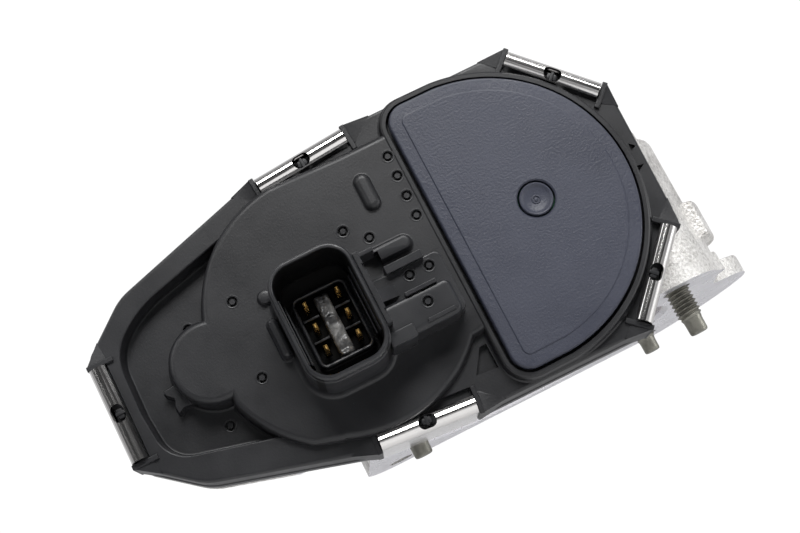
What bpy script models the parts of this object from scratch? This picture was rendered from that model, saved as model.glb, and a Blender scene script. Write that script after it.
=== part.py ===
"""Electronic throttle body: cast body with a bored barrel, gear case, motor housing, two-stage gear train,
plastic gear cover with a six-way connector, and a D-shaped sensor cap. Sizes are in millimetres, turned to metres by MM.

Frame: the origin is the centre of the throttle bore on the manifold flange's face. +Z runs along the bore
towards the air inlet, -Y is the gear cover's side, and the throttle shaft is parallel to Y.
"""

import math

import bmesh
import bpy
from mathutils import Matrix, Vector

MM = 0.001
GAP = 0.3  # between neighbouring pieces

# ---------------------------------------------------------------- driving dimensions
BORE_R = 37.5
AXIS_Z = 28.0  # height of the shaft, idler and motor axes above the flange face
IDLER_X = -37.5
MOTOR_X = -67.0
REST_ANGLE = 7.0  # degrees that the plate stands open with no current

BARREL_R = 43.5
SPIGOT_R = 41.0
SHOULDER_Z = 37.5  # top of the bolt bosses
BODY_TOP = 62.0
FLANGE_T = 5.0
OUTER_R = 54.5  # outer wall between the two right-hand bosses
FLANGE_R = 64.0

CASE_BACK = -42.6  # y of the gear case's rear face
CASE_FLOOR = -46.0
CASE_RIM = -50.7
COVER_BACK = -51.0
COVER_INSIDE = -59.5
COVER_RIM = -62.0
PANEL_Y = -57.0
DOME_Y = -64.5
SURROUND_Y = -64.6
POCKET_Y = -61.8
CAP_TOP = -66.0
SHROUD_TOP = -82.0

BOLTS = {  # name: (x, y, height of the tip)
    "mounting_bolt_1": (35.2, -34.0, -11.2),
    "mounting_bolt_2": (38.2, 34.0, -4.9),
    "mounting_bolt_3": (-35.2, -34.0, -7.6),
    "mounting_bolt_4": (-38.2, 34.0, 0.2),
}
BOLT_LENGTH = 49.0
BOSS_R = 9.5

MOTOR_R = 16.5
HOUSING_R = 19.8
HOUSING_END = 14.0

PINION_TEETH, IDLER_TEETH = 12, 50
SMALL_TEETH, SECTOR_TEETH = 12, 48
MODULE_1 = 2 * (IDLER_X - MOTOR_X) / (PINION_TEETH + IDLER_TEETH)
MODULE_2 = 2 * -IDLER_X / (SMALL_TEETH + SECTOR_TEETH)

# ---------------------------------------------------------------- collections
for old in list(bpy.data.objects):
    bpy.data.objects.remove(old, do_unlink=True)

PARTS = bpy.data.collections.new("throttle_body")
TOOLS = bpy.data.collections.new("cutters")
bpy.context.scene.collection.children.link(PARTS)
bpy.context.scene.collection.children.link(TOOLS)
TOOLS.hide_render = True

AXES = {  # maps a shape's own Z, along which it is extruded or turned, to the direction named
    "Z": Matrix.Identity(4),
    "Y": Matrix(((1, 0, 0, 0), (0, 0, -1, 0), (0, 1, 0, 0), (0, 0, 0, 1))),  # own Z becomes -Y, own Y becomes Z
    "X": Matrix(((0, 0, 1, 0), (1, 0, 0, 0), (0, 1, 0, 0), (0, 0, 0, 1))),
}

FINISHES = {  # colour, metallic, roughness
    "cast": ((0.62, 0.61, 0.59), 1.0, 0.5),
    "black": ((0.03, 0.031, 0.034), 0.0, 0.5),
    "cap": ((0.05, 0.056, 0.072), 0.0, 0.4),
    "steel": ((0.72, 0.72, 0.73), 1.0, 0.2),
    "dark_steel": ((0.3, 0.3, 0.28), 1.0, 0.4),
    "bolt": ((0.22, 0.22, 0.18), 0.8, 0.5),
    "brass": ((0.75, 0.55, 0.25), 1.0, 0.3),
    "gold": ((0.85, 0.62, 0.25), 1.0, 0.25),
    "rubber": ((0.02, 0.02, 0.02), 0.0, 0.8),
    "nylon": ((0.72, 0.7, 0.62), 0.0, 0.45),
    "grey": ((0.45, 0.45, 0.43), 0.0, 0.35),
    "board": ((0.03, 0.2, 0.09), 0.0, 0.5),
    "magnet": ((0.12, 0.12, 0.12), 0.3, 0.6),
    "copper": ((0.7, 0.35, 0.2), 1.0, 0.35),
}


# ---------------------------------------------------------------- outlines
def arc(cx, cy, r, start, end, steps):
    """Points on a circle from one angle to another, in degrees, both ends included."""
    return [
        (cx + r * math.cos(math.radians(start + (end - start) * i / steps)),
         cy + r * math.sin(math.radians(start + (end - start) * i / steps)))
        for i in range(steps + 1)
    ]


def circle(cx, cy, r, steps):
    return arc(cx, cy, r, 0, 360 * (steps - 1) / steps, steps - 1)


def rounded(corners, step=24.0):
    """A closed outline through corners (x, y, fillet radius)."""
    points = []
    for i, (x, y, r) in enumerate(corners):
        here = Vector((x, y))
        before = (Vector(corners[i - 1][:2]) - here).normalized()
        after = (Vector(corners[(i + 1) % len(corners)][:2]) - here).normalized()
        inside = before.angle(after)
        if r <= 0 or inside > math.radians(179):
            points.append((x, y))
            continue
        centre = here + (before + after).normalized() * (r / math.sin(inside / 2))
        first = here + before * (r / math.tan(inside / 2)) - centre
        turn = math.pi - inside
        if before.y * after.x - before.x * after.y < 0:
            turn = -turn
        steps = max(1, round(abs(math.degrees(turn)) / step))
        for k in range(steps + 1):
            a = turn * k / steps
            points.append((centre.x + first.x * math.cos(a) - first.y * math.sin(a),
                           centre.y + first.x * math.sin(a) + first.y * math.cos(a)))
    return points


def inset(outline, distance):
    """The outline moved inwards (or outwards, if negative), point by point. It runs counter-clockwise."""
    n = len(outline)
    area = sum(outline[i][0] * outline[(i + 1) % n][1] - outline[(i + 1) % n][0] * outline[i][1] for i in range(n))
    side = 1 if area > 0 else -1
    result = []
    for i in range(n):
        p, q, s = Vector(outline[i - 1]), Vector(outline[i]), Vector(outline[(i + 1) % n])
        a, b = (q - p).normalized(), (s - q).normalized()
        na, nb = Vector((-a.y, a.x)) * side, Vector((-b.y, b.x)) * side
        middle = na + nb
        result.append(tuple(q + middle * (distance / max(0.35, 1 + na.dot(nb)))))
    return result


def mirrored(upper, about):
    """A closed outline from its upper half, listed from the right end to the left end, as (x, height, r)."""
    top = [(x, about + h, r) for x, h, r in upper]
    return top + [(x, 2 * about - z, r) for x, z, r in reversed(top)]


# ---------------------------------------------------------------- shapes
def link(obj, tool=False):
    (TOOLS if tool else PARTS).objects.link(obj)
    if tool:
        obj.hide_render = True
        obj.display_type = "WIRE"
    return obj


def prism(name, outline, low, high, along="Y", holes=(), tool=False):
    """A flat outline with holes, extruded between two heights on an axis."""
    curve = bpy.data.curves.new(name, "CURVE")
    curve.dimensions = "2D"
    curve.fill_mode = "BOTH"
    curve.extrude = (high - low) / 2 * MM
    for loop in (outline, *holes):
        spline = curve.splines.new("POLY")
        spline.points.add(len(loop) - 1)
        for point, (x, y) in zip(spline.points, loop):
            point.co = (x * MM, y * MM, 0, 1)
        spline.use_cyclic_u = True
    middle = (low + high) / 2 * MM
    place = {"X": (middle, 0, 0), "Y": (0, middle, 0), "Z": (0, 0, middle)}[along]
    guide = bpy.data.objects.new(name, curve)
    bpy.context.scene.collection.objects.link(guide)
    guide.matrix_world = Matrix.Translation(place) @ AXES[along]
    bpy.context.view_layer.update()
    mesh = bpy.data.meshes.new_from_object(guide.evaluated_get(bpy.context.evaluated_depsgraph_get()))
    bm = bmesh.new()
    bm.from_mesh(mesh)
    bmesh.ops.remove_doubles(bm, verts=bm.verts, dist=1e-6)
    bmesh.ops.recalc_face_normals(bm, faces=bm.faces)
    bm.to_mesh(mesh)
    bm.free()
    world = guide.matrix_world.copy()
    bpy.data.objects.remove(guide, do_unlink=True)
    obj = bpy.data.objects.new(name, mesh)
    obj.matrix_world = world
    return link(obj, tool)


def turned(name, profile, at, along="Z", steps=32, ring=False, tool=False):
    """A profile of (radius, height) points, outer side from top to bottom, turned about an axis through `at`."""
    n = len(profile)
    if ring:
        area = sum(profile[i][0] * profile[(i + 1) % n][1] - profile[(i + 1) % n][0] * profile[i][1] for i in range(n))
        if area > 0:
            profile = profile[::-1]
    mesh = bpy.data.meshes.new(name)
    edges = [(i, i + 1) for i in range(n - 1)] + ([(n - 1, 0)] if ring else [])
    mesh.from_pydata([(r * MM, 0, h * MM) for r, h in profile], edges, [])
    obj = bpy.data.objects.new(name, mesh)
    obj.matrix_world = Matrix.Translation(Vector(at) * MM) @ AXES[along]
    screw = obj.modifiers.new("turn", "SCREW")
    screw.steps = screw.render_steps = steps
    screw.use_merge_vertices = True
    screw.merge_threshold = 0.00001
    screw.use_smooth_shade = True
    return link(obj, tool)


def box(name, low, high, tool=False):
    bm = bmesh.new()
    bmesh.ops.create_cube(bm, size=1)
    size = [(high[i] - low[i]) * MM for i in range(3)]
    bmesh.ops.scale(bm, vec=size, verts=bm.verts)
    mesh = bpy.data.meshes.new(name)
    bm.to_mesh(mesh)
    bm.free()
    obj = bpy.data.objects.new(name, mesh)
    obj.location = [(high[i] + low[i]) / 2 * MM for i in range(3)]
    return link(obj, tool)


def combine(target, tool, operation="DIFFERENCE"):
    modifier = target.modifiers.new(f"{operation.lower()}_{tool.name}", "BOOLEAN")
    modifier.operation = operation
    modifier.object = tool
    modifier.solver = "EXACT"
    return target


def weld(target):
    modifier = target.modifiers.new("weld", "WELD")
    modifier.merge_threshold = 0.000004
    return target


def cut(target, *tools):
    for tool in tools:
        combine(target, tool)
        if tool.modifiers:
            weld(target)
    return target


def add(target, *tools):
    for tool in tools:
        combine(target, tool, "UNION")
    return target


def ride(tool, parent):
    """A cutter that turns with the piece it cuts."""
    tool.parent = parent
    tool.matrix_parent_inverse = Matrix.Translation(parent.location).inverted()
    return tool


def drill(name, x, z, r, low, high, steps=16, sides="Y"):
    return prism(name, circle(x, z, r, steps), low, high, sides, tool=True)


def finish(obj, finish_name, parent=None):
    colour, metallic, roughness = FINISHES[finish_name]
    material = bpy.data.materials.new(obj.name)
    material.use_nodes = True
    shader = material.node_tree.nodes["Principled BSDF"]
    shader.inputs["Base Color"].default_value = (*colour, 1)
    shader.inputs["Metallic"].default_value = metallic
    shader.inputs["Roughness"].default_value = roughness
    obj.data.materials.clear()
    obj.data.materials.append(material)
    if obj.data.polygons:
        obj.data.shade_smooth()
        obj.data.set_sharp_from_angle(angle=math.radians(35))
    if parent:
        obj.parent = parent
        obj.matrix_parent_inverse = Matrix.Translation(parent.location).inverted()
    return obj


def axis_empty(name, x):
    empty = bpy.data.objects.new(name, None)
    empty.location = (x * MM, 0, AXIS_Z * MM)
    empty.empty_display_size = 0.01
    PARTS.objects.link(empty)
    return empty


THROTTLE_AXIS = axis_empty("throttle_axis", 0)
IDLER_AXIS = axis_empty("idler_axis", IDLER_X)
MOTOR_AXIS = axis_empty("motor_axis", MOTOR_X)
HOUSING = axis_empty("housing", 0)
HOUSING.location = (0, 0, 0)


# ---------------------------------------------------------------- gear teeth
def tooth(teeth, module, pressure=22.0, backlash=0.14, tip=0.86, root=1.2, steps=3):
    """One flank of a tooth as (radius, half angle) from root to tip, from the involute of the base circle."""
    pitch = module * teeth / 2
    base = pitch * math.cos(math.radians(pressure))
    low, high = pitch - root * module, pitch + tip * module

    def involute(r):
        a = math.acos(min(1, base / r))
        return math.tan(a) - a

    half = math.pi / (2 * teeth) - backlash / pitch
    if not steps:  # nearly straight flanks, as on a gear with many teeth
        return [(low, half + involute(pitch)), (high, half + involute(pitch) - involute(high))]
    start = max(base, low) + 1e-4
    flank = []
    if low < base:
        flank.append((low, half + involute(pitch)))
    for i in range(steps + 1):
        r = start + (high - start) * i / steps
        flank.append((r, half + involute(pitch) - involute(r)))
    return flank


def toothed(teeth, module, centre_angle, first=0, count=None, **settings):
    """Points round the teeth, counter-clockwise, one tooth centred at centre_angle degrees."""
    flank = tooth(teeth, module, **settings)
    points = []
    for k in range(first, first + (count or teeth)):
        a = math.radians(centre_angle) + 2 * math.pi * k / teeth
        for r, half in flank:
            points.append((r * math.cos(a - half), r * math.sin(a - half)))
        for r, half in reversed(flank):
            points.append((r * math.cos(a + half), r * math.sin(a + half)))
    return points


def shifted(points, x, z):
    return [(px + x, pz + z) for px, pz in points]


# ---------------------------------------------------------------- shared outlines
COVER_UPPER = [
    (37.5, 17.2, 1.5), (20.4, 35.3, 1.5), (-19.5, 35.3, 3), (-45.5, 33.0, 3), (-80.5, 22.6, 13), (-92.0, 13.2, 3),
]


def cover_outline(offset=0.0):
    """The cover's outline moved inwards: its corners are moved first and rounded afterwards."""
    corners = mirrored(COVER_UPPER, AXIS_Z)
    moved = inset([(x, z) for x, z, _ in corners], offset) if offset else [(x, z) for x, z, _ in corners]
    return rounded([(x, z, max(0.8, r - offset)) for (x, z), (_, _, r) in zip(moved, corners)])


COVER = cover_outline()
CASE = cover_outline(3.6)
CAVITY = cover_outline(5.0)
INSIDE = cover_outline(3.6)

CAP_X, CAP_Z, CAP_R = -1.0, 28.3, 32.7
CAP_LEFT = -11.1


def cap_outline(offset, steps=22):
    """The D shape, moved outwards by an offset: a flat left side, two round corners and one large arc."""
    r = CAP_R + offset
    left, top, bottom = CAP_LEFT - offset, CAP_Z + CAP_R + offset, CAP_Z - CAP_R - offset
    corner = 4.6 + offset
    return (
        arc(CAP_X, CAP_Z, r, -86, 86, steps)
        + arc(left + corner, top - corner, corner, 92, 180, 4)
        + arc(left + corner, bottom + corner, corner, 180, 268, 4)
    )


def dome_outline(offset=0.0):
    """Circle over the idler gear, a lobe over the pinion and a straight top that runs to the cap."""
    r = 29.7 + offset
    return (
        [(-12.9, 8.2 - offset)]
        + arc(-37.8, 27.9, r, -42, -161, 12)
        + arc(-68.2, 28.4, 9.0 + offset, -82, -278, 9)
        + arc(-37.8, 27.7, r, -199, -264, 6)
        + [(-24.0, 56.8 + offset), (-12.9, 56.8 + offset)]
    )


def clip_frame(name):
    """Middle of the clip's seat on the cover's edge, and the outward direction, in x and z."""
    slope = math.radians(5.0)
    corner = math.atan2(18.1, 16.9)
    return {
        "cover_clip_left": ((-92.0, AXIS_Z - 0.6), (-1.0, 0.0)),
        "cover_clip_upper_left": ((-32.4, AXIS_Z + 34.15), (-math.sin(slope), math.cos(slope))),
        "cover_clip_lower_left": ((-32.4, AXIS_Z - 34.15), (-math.sin(slope), -math.cos(slope))),
        "cover_clip_upper_right": ((28.95, AXIS_Z + 26.25), (math.sin(corner), math.cos(corner))),
        "cover_clip_lower_right": ((28.95, AXIS_Z - 26.25), (math.sin(corner), -math.cos(corner))),
    }[name]


CLIPS = [
    "cover_clip_left", "cover_clip_upper_left", "cover_clip_lower_left",
    "cover_clip_upper_right", "cover_clip_lower_right",
]
CLIP_LENGTH = 23.4
CLIP_T = 0.8
SEAT = 1.3  # how far the clip's seat is set back from the cover's edge


def on_edge(name, along, out):
    """A point in x and z, measured along the clip and outwards from the cover's edge."""
    (x, z), (nx, nz) = clip_frame(name)
    return (x - nz * along + nx * out, z + nx * along + nz * out)


def edge_box(label, name, along, out, low, high):
    """A block beside a clip: `along` and `out` are ranges, low and high its limits in y."""
    corners = [on_edge(name, a, o) for a, o in
               ((along[0], out[0]), (along[1], out[0]), (along[1], out[1]), (along[0], out[1]))]
    return prism(label, corners, low, high, tool=True)


# ---------------------------------------------------------------- the casting
def flange_outline():
    near = {k: v for k, v in BOLTS.items()}
    a, b = near["mounting_bolt_1"], near["mounting_bolt_2"]
    c, d = near["mounting_bolt_3"], near["mounting_bolt_4"]
    return (
        arc(c[0], c[1], 10.0, 190, 270, 4)
        + arc(a[0], a[1], 10.0, 270, 345, 4)
        + arc(46.0, -28.0, 3.6, -60, 50, 4)
        + [(50.2, -11.0), (52.6, -9.0), (55.6, -8.2), (58.6, -6.4), (60.8, -3.2), (62.4, 1.4)]
        + arc(0, 0, FLANGE_R - 0.6, 6.0, 45, 9)
        + arc(b[0], b[1], 12.0, 70, 90, 1)
        + arc(d[0], d[1], 10.0, 90, 175, 4)
    )


casting = prism("throttle_body_casting", flange_outline(), 0, FLANGE_T, "Z")
add(
    casting,
    turned("barrel", [(0, BODY_TOP), (SPIGOT_R - 0.8, BODY_TOP), (SPIGOT_R, BODY_TOP - 1.2), (SPIGOT_R + 0.9, BODY_TOP - 3),
                      (SPIGOT_R + 0.9, BODY_TOP - 5), (SPIGOT_R, BODY_TOP - 6.5), (SPIGOT_R, SHOULDER_Z + 2),
                      (BARREL_R, SHOULDER_Z), (BARREL_R, 2), (0, 2)], (0, 0, 0), steps=44, tool=True),
)
a, b = BOLTS["mounting_bolt_1"], BOLTS["mounting_bolt_2"]
outer_wall = prism("outer_wall", arc(a[0], a[1], BOSS_R, -110, -44, 3) + arc(0, 0, OUTER_R, -42, 40, 12)
                   + arc(b[0], b[1], BOSS_R, 40, 110, 3) + [(20, 30), (20, -30)], 3, SHOULDER_Z, "Z", tool=True)
cut(outer_wall, prism("lightening_pocket", arc(0, 0, 51.4, -27, 26, 8) + arc(0, 0, 46.8, 25.5, -26.5, 8), 12.4,
                      SHOULDER_Z + 1.1, "Z", tool=True))
add(casting, outer_wall)
for name in ("mounting_bolt_3", "mounting_bolt_4"):
    x, y, _ = BOLTS[name]
    add(casting, turned(f"boss_{name[-1]}", [(0, SHOULDER_Z), (BOSS_R - 1, SHOULDER_Z), (BOSS_R, SHOULDER_Z - 1),
                                            (BOSS_R, 2), (0, 2)], (x, y, 0), steps=20, tool=True))
add(
    casting,
    prism("side_pad", arc(0, 0, 57.2, -26, -4, 4) + arc(0, 0, 50, -4, -26, 4), 9.8, 19.6, "Z", tool=True),
    prism("case_body", CASE, CASE_FLOOR - 3, CASE_BACK, tool=True),
    prism("case_rim", COVER, CASE_RIM, CASE_RIM + 4.0, tool=True),
    turned("motor_housing", [(0, -HOUSING_END), (HOUSING_R - 2, -HOUSING_END), (HOUSING_R, -HOUSING_END + 2),
                             (HOUSING_R, -CASE_FLOOR), (0, -CASE_FLOOR)][::-1], (MOTOR_X, 0, AXIS_Z), "Y", 28, tool=True),
    box("web", (-53.1, -45.2, AXIS_Z - 9.1), (-37.1, 8.2, AXIS_Z + 9.1), tool=True),
    turned("far_bearing_boss", [(0, -54), (11.5, -54), (12.5, -53), (12.5, -38), (0, -38)][::-1], (0, 0, AXIS_Z), "Y", 24,
           tool=True),
)
cut(
    casting,
    prism("gear_space", CAVITY, CASE_RIM - 2, CASE_FLOOR, tool=True),
    turned("bore", [(0, BODY_TOP + 1), (BORE_R + 1.2, BODY_TOP + 1), (BORE_R + 0.6, BODY_TOP - 1), (BORE_R, BODY_TOP - 4),
                    (BORE_R, 1.0), (BORE_R + 1.6, -0.6), (BORE_R + 1.6, -2), (0, -2)], (0, 0, 0), steps=48, tool=True),
    turned("motor_space", [(0, -11.5), (MOTOR_R + 0.4, -11.5), (MOTOR_R + 0.4, 60), (0, 60)][::-1],
           (MOTOR_X, 0, AXIS_Z), "Y", 28, tool=True),
    turned("shaft_bore", [(0, 60), (9.2, 60), (9.2, 41.3), (5.4, 41.3), (5.4, -39.4), (8.6, -39.4), (8.6, -60), (0, -60)],
           (0, 0, AXIS_Z), "Y", 24, tool=True),
    drill("idler_pin_hole", IDLER_X, AXIS_Z, 2.8, -47, -44.7, 12),
    *[drill(f"bolt_hole_{name[-1]}", x, y, 3.5, -2, SHOULDER_Z + 5, 16, "Z") for name, (x, y, _) in BOLTS.items()],
)
MOTOR_SCREWS = {"motor_screw_1": (MOTOR_X + 5.2, AXIS_Z + 19.5), "motor_screw_2": (MOTOR_X + 5.2, AXIS_Z - 19.5)}
for name, (x, z) in MOTOR_SCREWS.items():
    add(casting, prism(f"post_{name}", circle(x, z, 3.2, 12), CASE_FLOOR + 0.6, CASE_FLOOR + 10.4, tool=True))
    cut(casting, drill(f"hole_{name}", x, z, 1.9, -50, -37, 10))


def end_plate_outline(offset=0.0):
    """A disc with two ears for the motor's screws."""
    r, ear = 15.6 + offset, 2.9 + offset
    side = arc(5.2, 19.5, ear, -12, 162, 6)
    return shifted(
        arc(0, 0, r, -58, 58, 8) + side + arc(0, 0, r, 98, 262, 10) + [(x, -z) for x, z in reversed(side)],
        MOTOR_X, AXIS_Z,
    )


cut(casting, prism("end_plate_recess", end_plate_outline(0.35), CASE_FLOOR - 1, -44.5, tool=True))
STOP_Y, STOP_Z = -55.2, AXIS_Z - 22.6
add(casting, box("stop_post", (13.6, -57.6, STOP_Z - 3.2), (19.4, CASE_FLOOR + 1, STOP_Z + 3.2), tool=True))
cut(casting, turned("stop_hole", [(0, 24), (1.6, 24), (1.6, 8), (0, 8)], (0, STOP_Y, STOP_Z), "X", 10, tool=True))
groove = cover_outline(1.9)
cut(casting, prism("gasket_groove", groove, CASE_RIM - 1, CASE_RIM + 1.5, holes=[cover_outline(3.75)], tool=True))
finish(casting, "cast", HOUSING)

gasket = prism("cover_gasket", cover_outline(2.2), CASE_RIM, CASE_RIM + 1.2, holes=[cover_outline(3.45)])
finish(gasket, "rubber", HOUSING)

# ---------------------------------------------------------------- the cover
cover = prism("gear_cover", COVER, COVER_RIM, COVER_BACK)
PANEL = rounded(mirrored([(-56.0, 24.4, 0), (-77.0, 18.6, 20), (-86.0, 12.0, 10)], AXIS_Z))
cut(cover, prism("panel_recess", PANEL, COVER_RIM - 2, PANEL_Y, tool=True))
add(
    cover,
    prism("dome", dome_outline(), DOME_Y, COVER_BACK - 4, tool=True),
    prism("cap_surround", cap_outline(2.0), SURROUND_Y, COVER_RIM + 1, tool=True),
)
SHROUD = (-42.0, 23.1, 20.2, 28.2)  # centre x, centre z, width, height


def rectangle(cx, cz, width, height, r=0.0, step=24.0):
    w, h = width / 2, height / 2
    return rounded([(cx + w, cz - h, r), (cx + w, cz + h, r), (cx - w, cz + h, r), (cx - w, cz - h, r)], step)


add(
    cover,
    prism("shroud", rectangle(*SHROUD, 5.2), SHROUD_TOP, DOME_Y + 2, tool=True),
    prism("latch_block", rectangle(-23.6, 16.4, 15.4, 8.2, 1.2, 45), -74.0, DOME_Y + 1, tool=True),
    prism("latch_plate", rectangle(-23.2, 23.4, 17.4, 8.0, 0.8, 45), -70.0, DOME_Y + 1, tool=True),
    prism("latch_rail", rectangle(-22.6, 27.6, 8.8, 1.9, 0), -72.0, DOME_Y + 1, tool=True),
    prism("shroud_plate", rectangle(-31.4, 24.6, 2.0, 17.6, 0), -77.0, DOME_Y + 1, tool=True),
    prism("panel_tab", [(-80.4, 27.6), (-80.0, 26.6), (-78.9, 25.3), (-79.4, 23.4), (-79.1, 22.0), (-77.9, 22.7), (-75.0, 23.2),
                        (-75.0, 28.6), (-78.7, 28.2)], -60.0, PANEL_Y + 1, tool=True),
    prism("pill_upper", rectangle(-21.9, 46.5, 3.8, 9.2, 1.85, 45), DOME_Y - 1.4, DOME_Y + 1, tool=True),
    prism("pill_lower", rectangle(-23.0, 32.9, 9.8, 3.8, 1.85, 45), DOME_Y - 2.2, DOME_Y + 1, tool=True),
)
for i, name in enumerate(CLIPS):
    cut(cover, edge_box(f"seat_{i}", name, (-CLIP_LENGTH / 2 - 0.3, CLIP_LENGTH / 2 + 0.3), (-SEAT, 3), -70, COVER_BACK + 2))
    cut(casting, edge_box(f"rim_seat_{i}", name, (-CLIP_LENGTH / 2 - 0.3, CLIP_LENGTH / 2 + 0.3), (-SEAT, 3),
                          CASE_RIM - 2, CASE_RIM + 5.4))
    for side in (-1, 1):
        start, end = side * (CLIP_LENGTH / 2 + 0.3), side * (CLIP_LENGTH / 2 + 1.7)
        add(cover, edge_box(f"ear_{i}_{side}", name, (min(start, end), max(start, end)), (-5.2, 0.9),
                            COVER_RIM - 1.8, COVER_BACK - 1))
    nx, nz = on_edge(name, 0, -SEAT - 1.1)
    add(cover, prism(f"nub_{i}", circle(nx, nz, 1.1, 8), COVER_RIM - 1.5, COVER_RIM + 1, tool=True))
cut(
    cover,
    prism("inside_gears", [(x, z) for x, z in INSIDE if x > -53 and z > AXIS_Z] + [(-53, AXIS_Z + 26), (-53, AXIS_Z - 26)]
          + [(x, z) for x, z in INSIDE if x > -53 and z < AXIS_Z], COVER_INSIDE, COVER_BACK + 2, tool=True),
    prism("inside_motor", INSIDE, PANEL_Y + 2.5, COVER_BACK + 2, tool=True),
    prism("inside_dome", circle(-37.8, 27.4, 25.4, 28), DOME_Y + 2.6, COVER_INSIDE + 1, tool=True),
    prism("cap_pocket", cap_outline(0.3), SURROUND_Y - 2, POCKET_Y, tool=True),
    prism("socket", rectangle(SHROUD[0], SHROUD[1], 16.9, 25.0, 3.9), SHROUD_TOP - 2, -67.0, tool=True),
    prism("insert_slot", rectangle(-41.6, 22.9, 11.0, 14.4, 0), -68, -60, tool=True),
    prism("board_slot", rectangle(10.0, AXIS_Z, 6.0, 22.0, 0), -63, -58, tool=True),
)
finish(cover, "black", HOUSING)

cap = prism("sensor_cap", cap_outline(0.0), CAP_TOP, CAP_TOP + 2.0)
PLUG = (10.0, 28.2)
cut(cap, prism("cap_bevel_line", cap_outline(-2.7), CAP_TOP - 1, CAP_TOP + 0.35, holes=[cap_outline(-3.1)], tool=True),
    drill("plug_hole", PLUG[0], PLUG[1], 3.9, CAP_TOP - 2, CAP_TOP + 4, 20))
finish(cap, "cap", HOUSING)
plug = turned("cap_plug", [(0, 66.1), (1.2, 66.1), (2.9, 66.5), (3.5, 66.3), (3.6, 65.6), (3.6, 64.3), (0, 64.3)],
              (PLUG[0], 0, PLUG[1]), "Y", 24)
finish(plug, "cap", HOUSING)

board = prism("sensor_board", cap_outline(-2.4, 16), POCKET_Y - 1.9, POCKET_Y - 0.3)
finish(board, "board", HOUSING)

# ---------------------------------------------------------------- cover clips
def clip_section():
    """The clip's section as (out from the seat, y): a rounded front hook, a straight wall and a rear hook."""
    t = CLIP_T
    front = COVER_RIM - GAP
    back = CASE_RIM + 4.0 + GAP
    outer = 0.3 + t  # outer face, from the seat's surface
    r = 1.95
    hook = arc(outer - r, front + 0.1, r, 0, -150, 6)  # outer skin of the front hook
    inner = arc(outer - r, front + 0.1, r - t, -150, 0, 6)
    outside = hook[::1]
    rear_outer = [(outer, back + t), (-1.8, back + t)]
    rear_inner = [(-1.8, back), (outer - t, back)]
    return rear_outer[::-1] + outside + inner + rear_inner[::-1]


def make_clip(name):
    (x, z), (nx, nz) = clip_frame(name)
    section = [(u - SEAT, y) for u, y in clip_section()]
    clip = prism(name, section, -CLIP_LENGTH / 2, CLIP_LENGTH / 2, "Z")
    out = Vector((nx, 0, nz))
    deep = Vector((0, 1, 0))
    length = out.cross(deep)
    place = Matrix.Identity(4)
    for column, direction in enumerate((out, deep, length)):
        place.col[column][:3] = direction
    place.translation = Vector((x, 0, z)) * MM
    clip.matrix_world = place
    window = prism(f"window_{name}", circle(*on_edge(name, 0, -SEAT - 0.95), 1.7, 12), COVER_RIM - 6, COVER_RIM - 0.1,
                   tool=True)
    cut(clip, window)
    return finish(clip, "steel", HOUSING)


for name in CLIPS:
    make_clip(name)

# ---------------------------------------------------------------- connector
INSERT = (-41.6, 22.9)
PIN_X, PIN_Z = (-3.75, 3.75), (5.05, 0.0, -5.05)
pins = [(INSERT[0] + dx, INSERT[1] + dz) for dx in PIN_X for dz in PIN_Z]
insert = prism("connector_insert", rectangle(*INSERT, 10.4, 13.8), -67.8, -62.4)
add(insert, prism("island", rectangle(*INSERT, 12.8, 16.6, 1.6, 45), -70.2, -67.3, tool=True))
cut(insert, prism("island_pocket", rectangle(*INSERT, 11.0, 14.8, 0.6, 90), -76, -68.1, tool=True),
    *[prism(f"pin_hole_{i}", rectangle(x, z, 1.3, 1.9), -70, -61, tool=True) for i, (x, z) in enumerate(pins)])
finish(insert, "black", HOUSING)
key = prism("connector_key", rectangle(INSERT[0] + 0.1, INSERT[1] - 0.2, 2.8, 13.8, 0.5, 90), -70.8, -68.4)
finish(key, "grey", HOUSING)
for i, (x, z) in enumerate(pins):
    pin = prism(f"terminal_{i + 1}", rectangle(x, z, 0.64, 1.3), -72.2, -61.2)
    finish(pin, "gold", HOUSING)

# ---------------------------------------------------------------- bolts
for name, (x, y, tip) in BOLTS.items():
    top = tip + BOLT_LENGTH
    bolt = turned(name, [(0, top + 6.0), (4.2, top + 6.0), (4.9, top + 5.4), (4.9, top + 1.6), (6.4, top + 1.4), (6.4, top + 0.3),
                         (3.0, top + 0.3), (3.0, tip + 4.2), (2.3, tip + 3.5), (2.2, tip + 0.5), (1.8, tip), (0, tip)],
                  (x, y, 0), steps=14)
    finish(bolt, "bolt", HOUSING)

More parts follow.
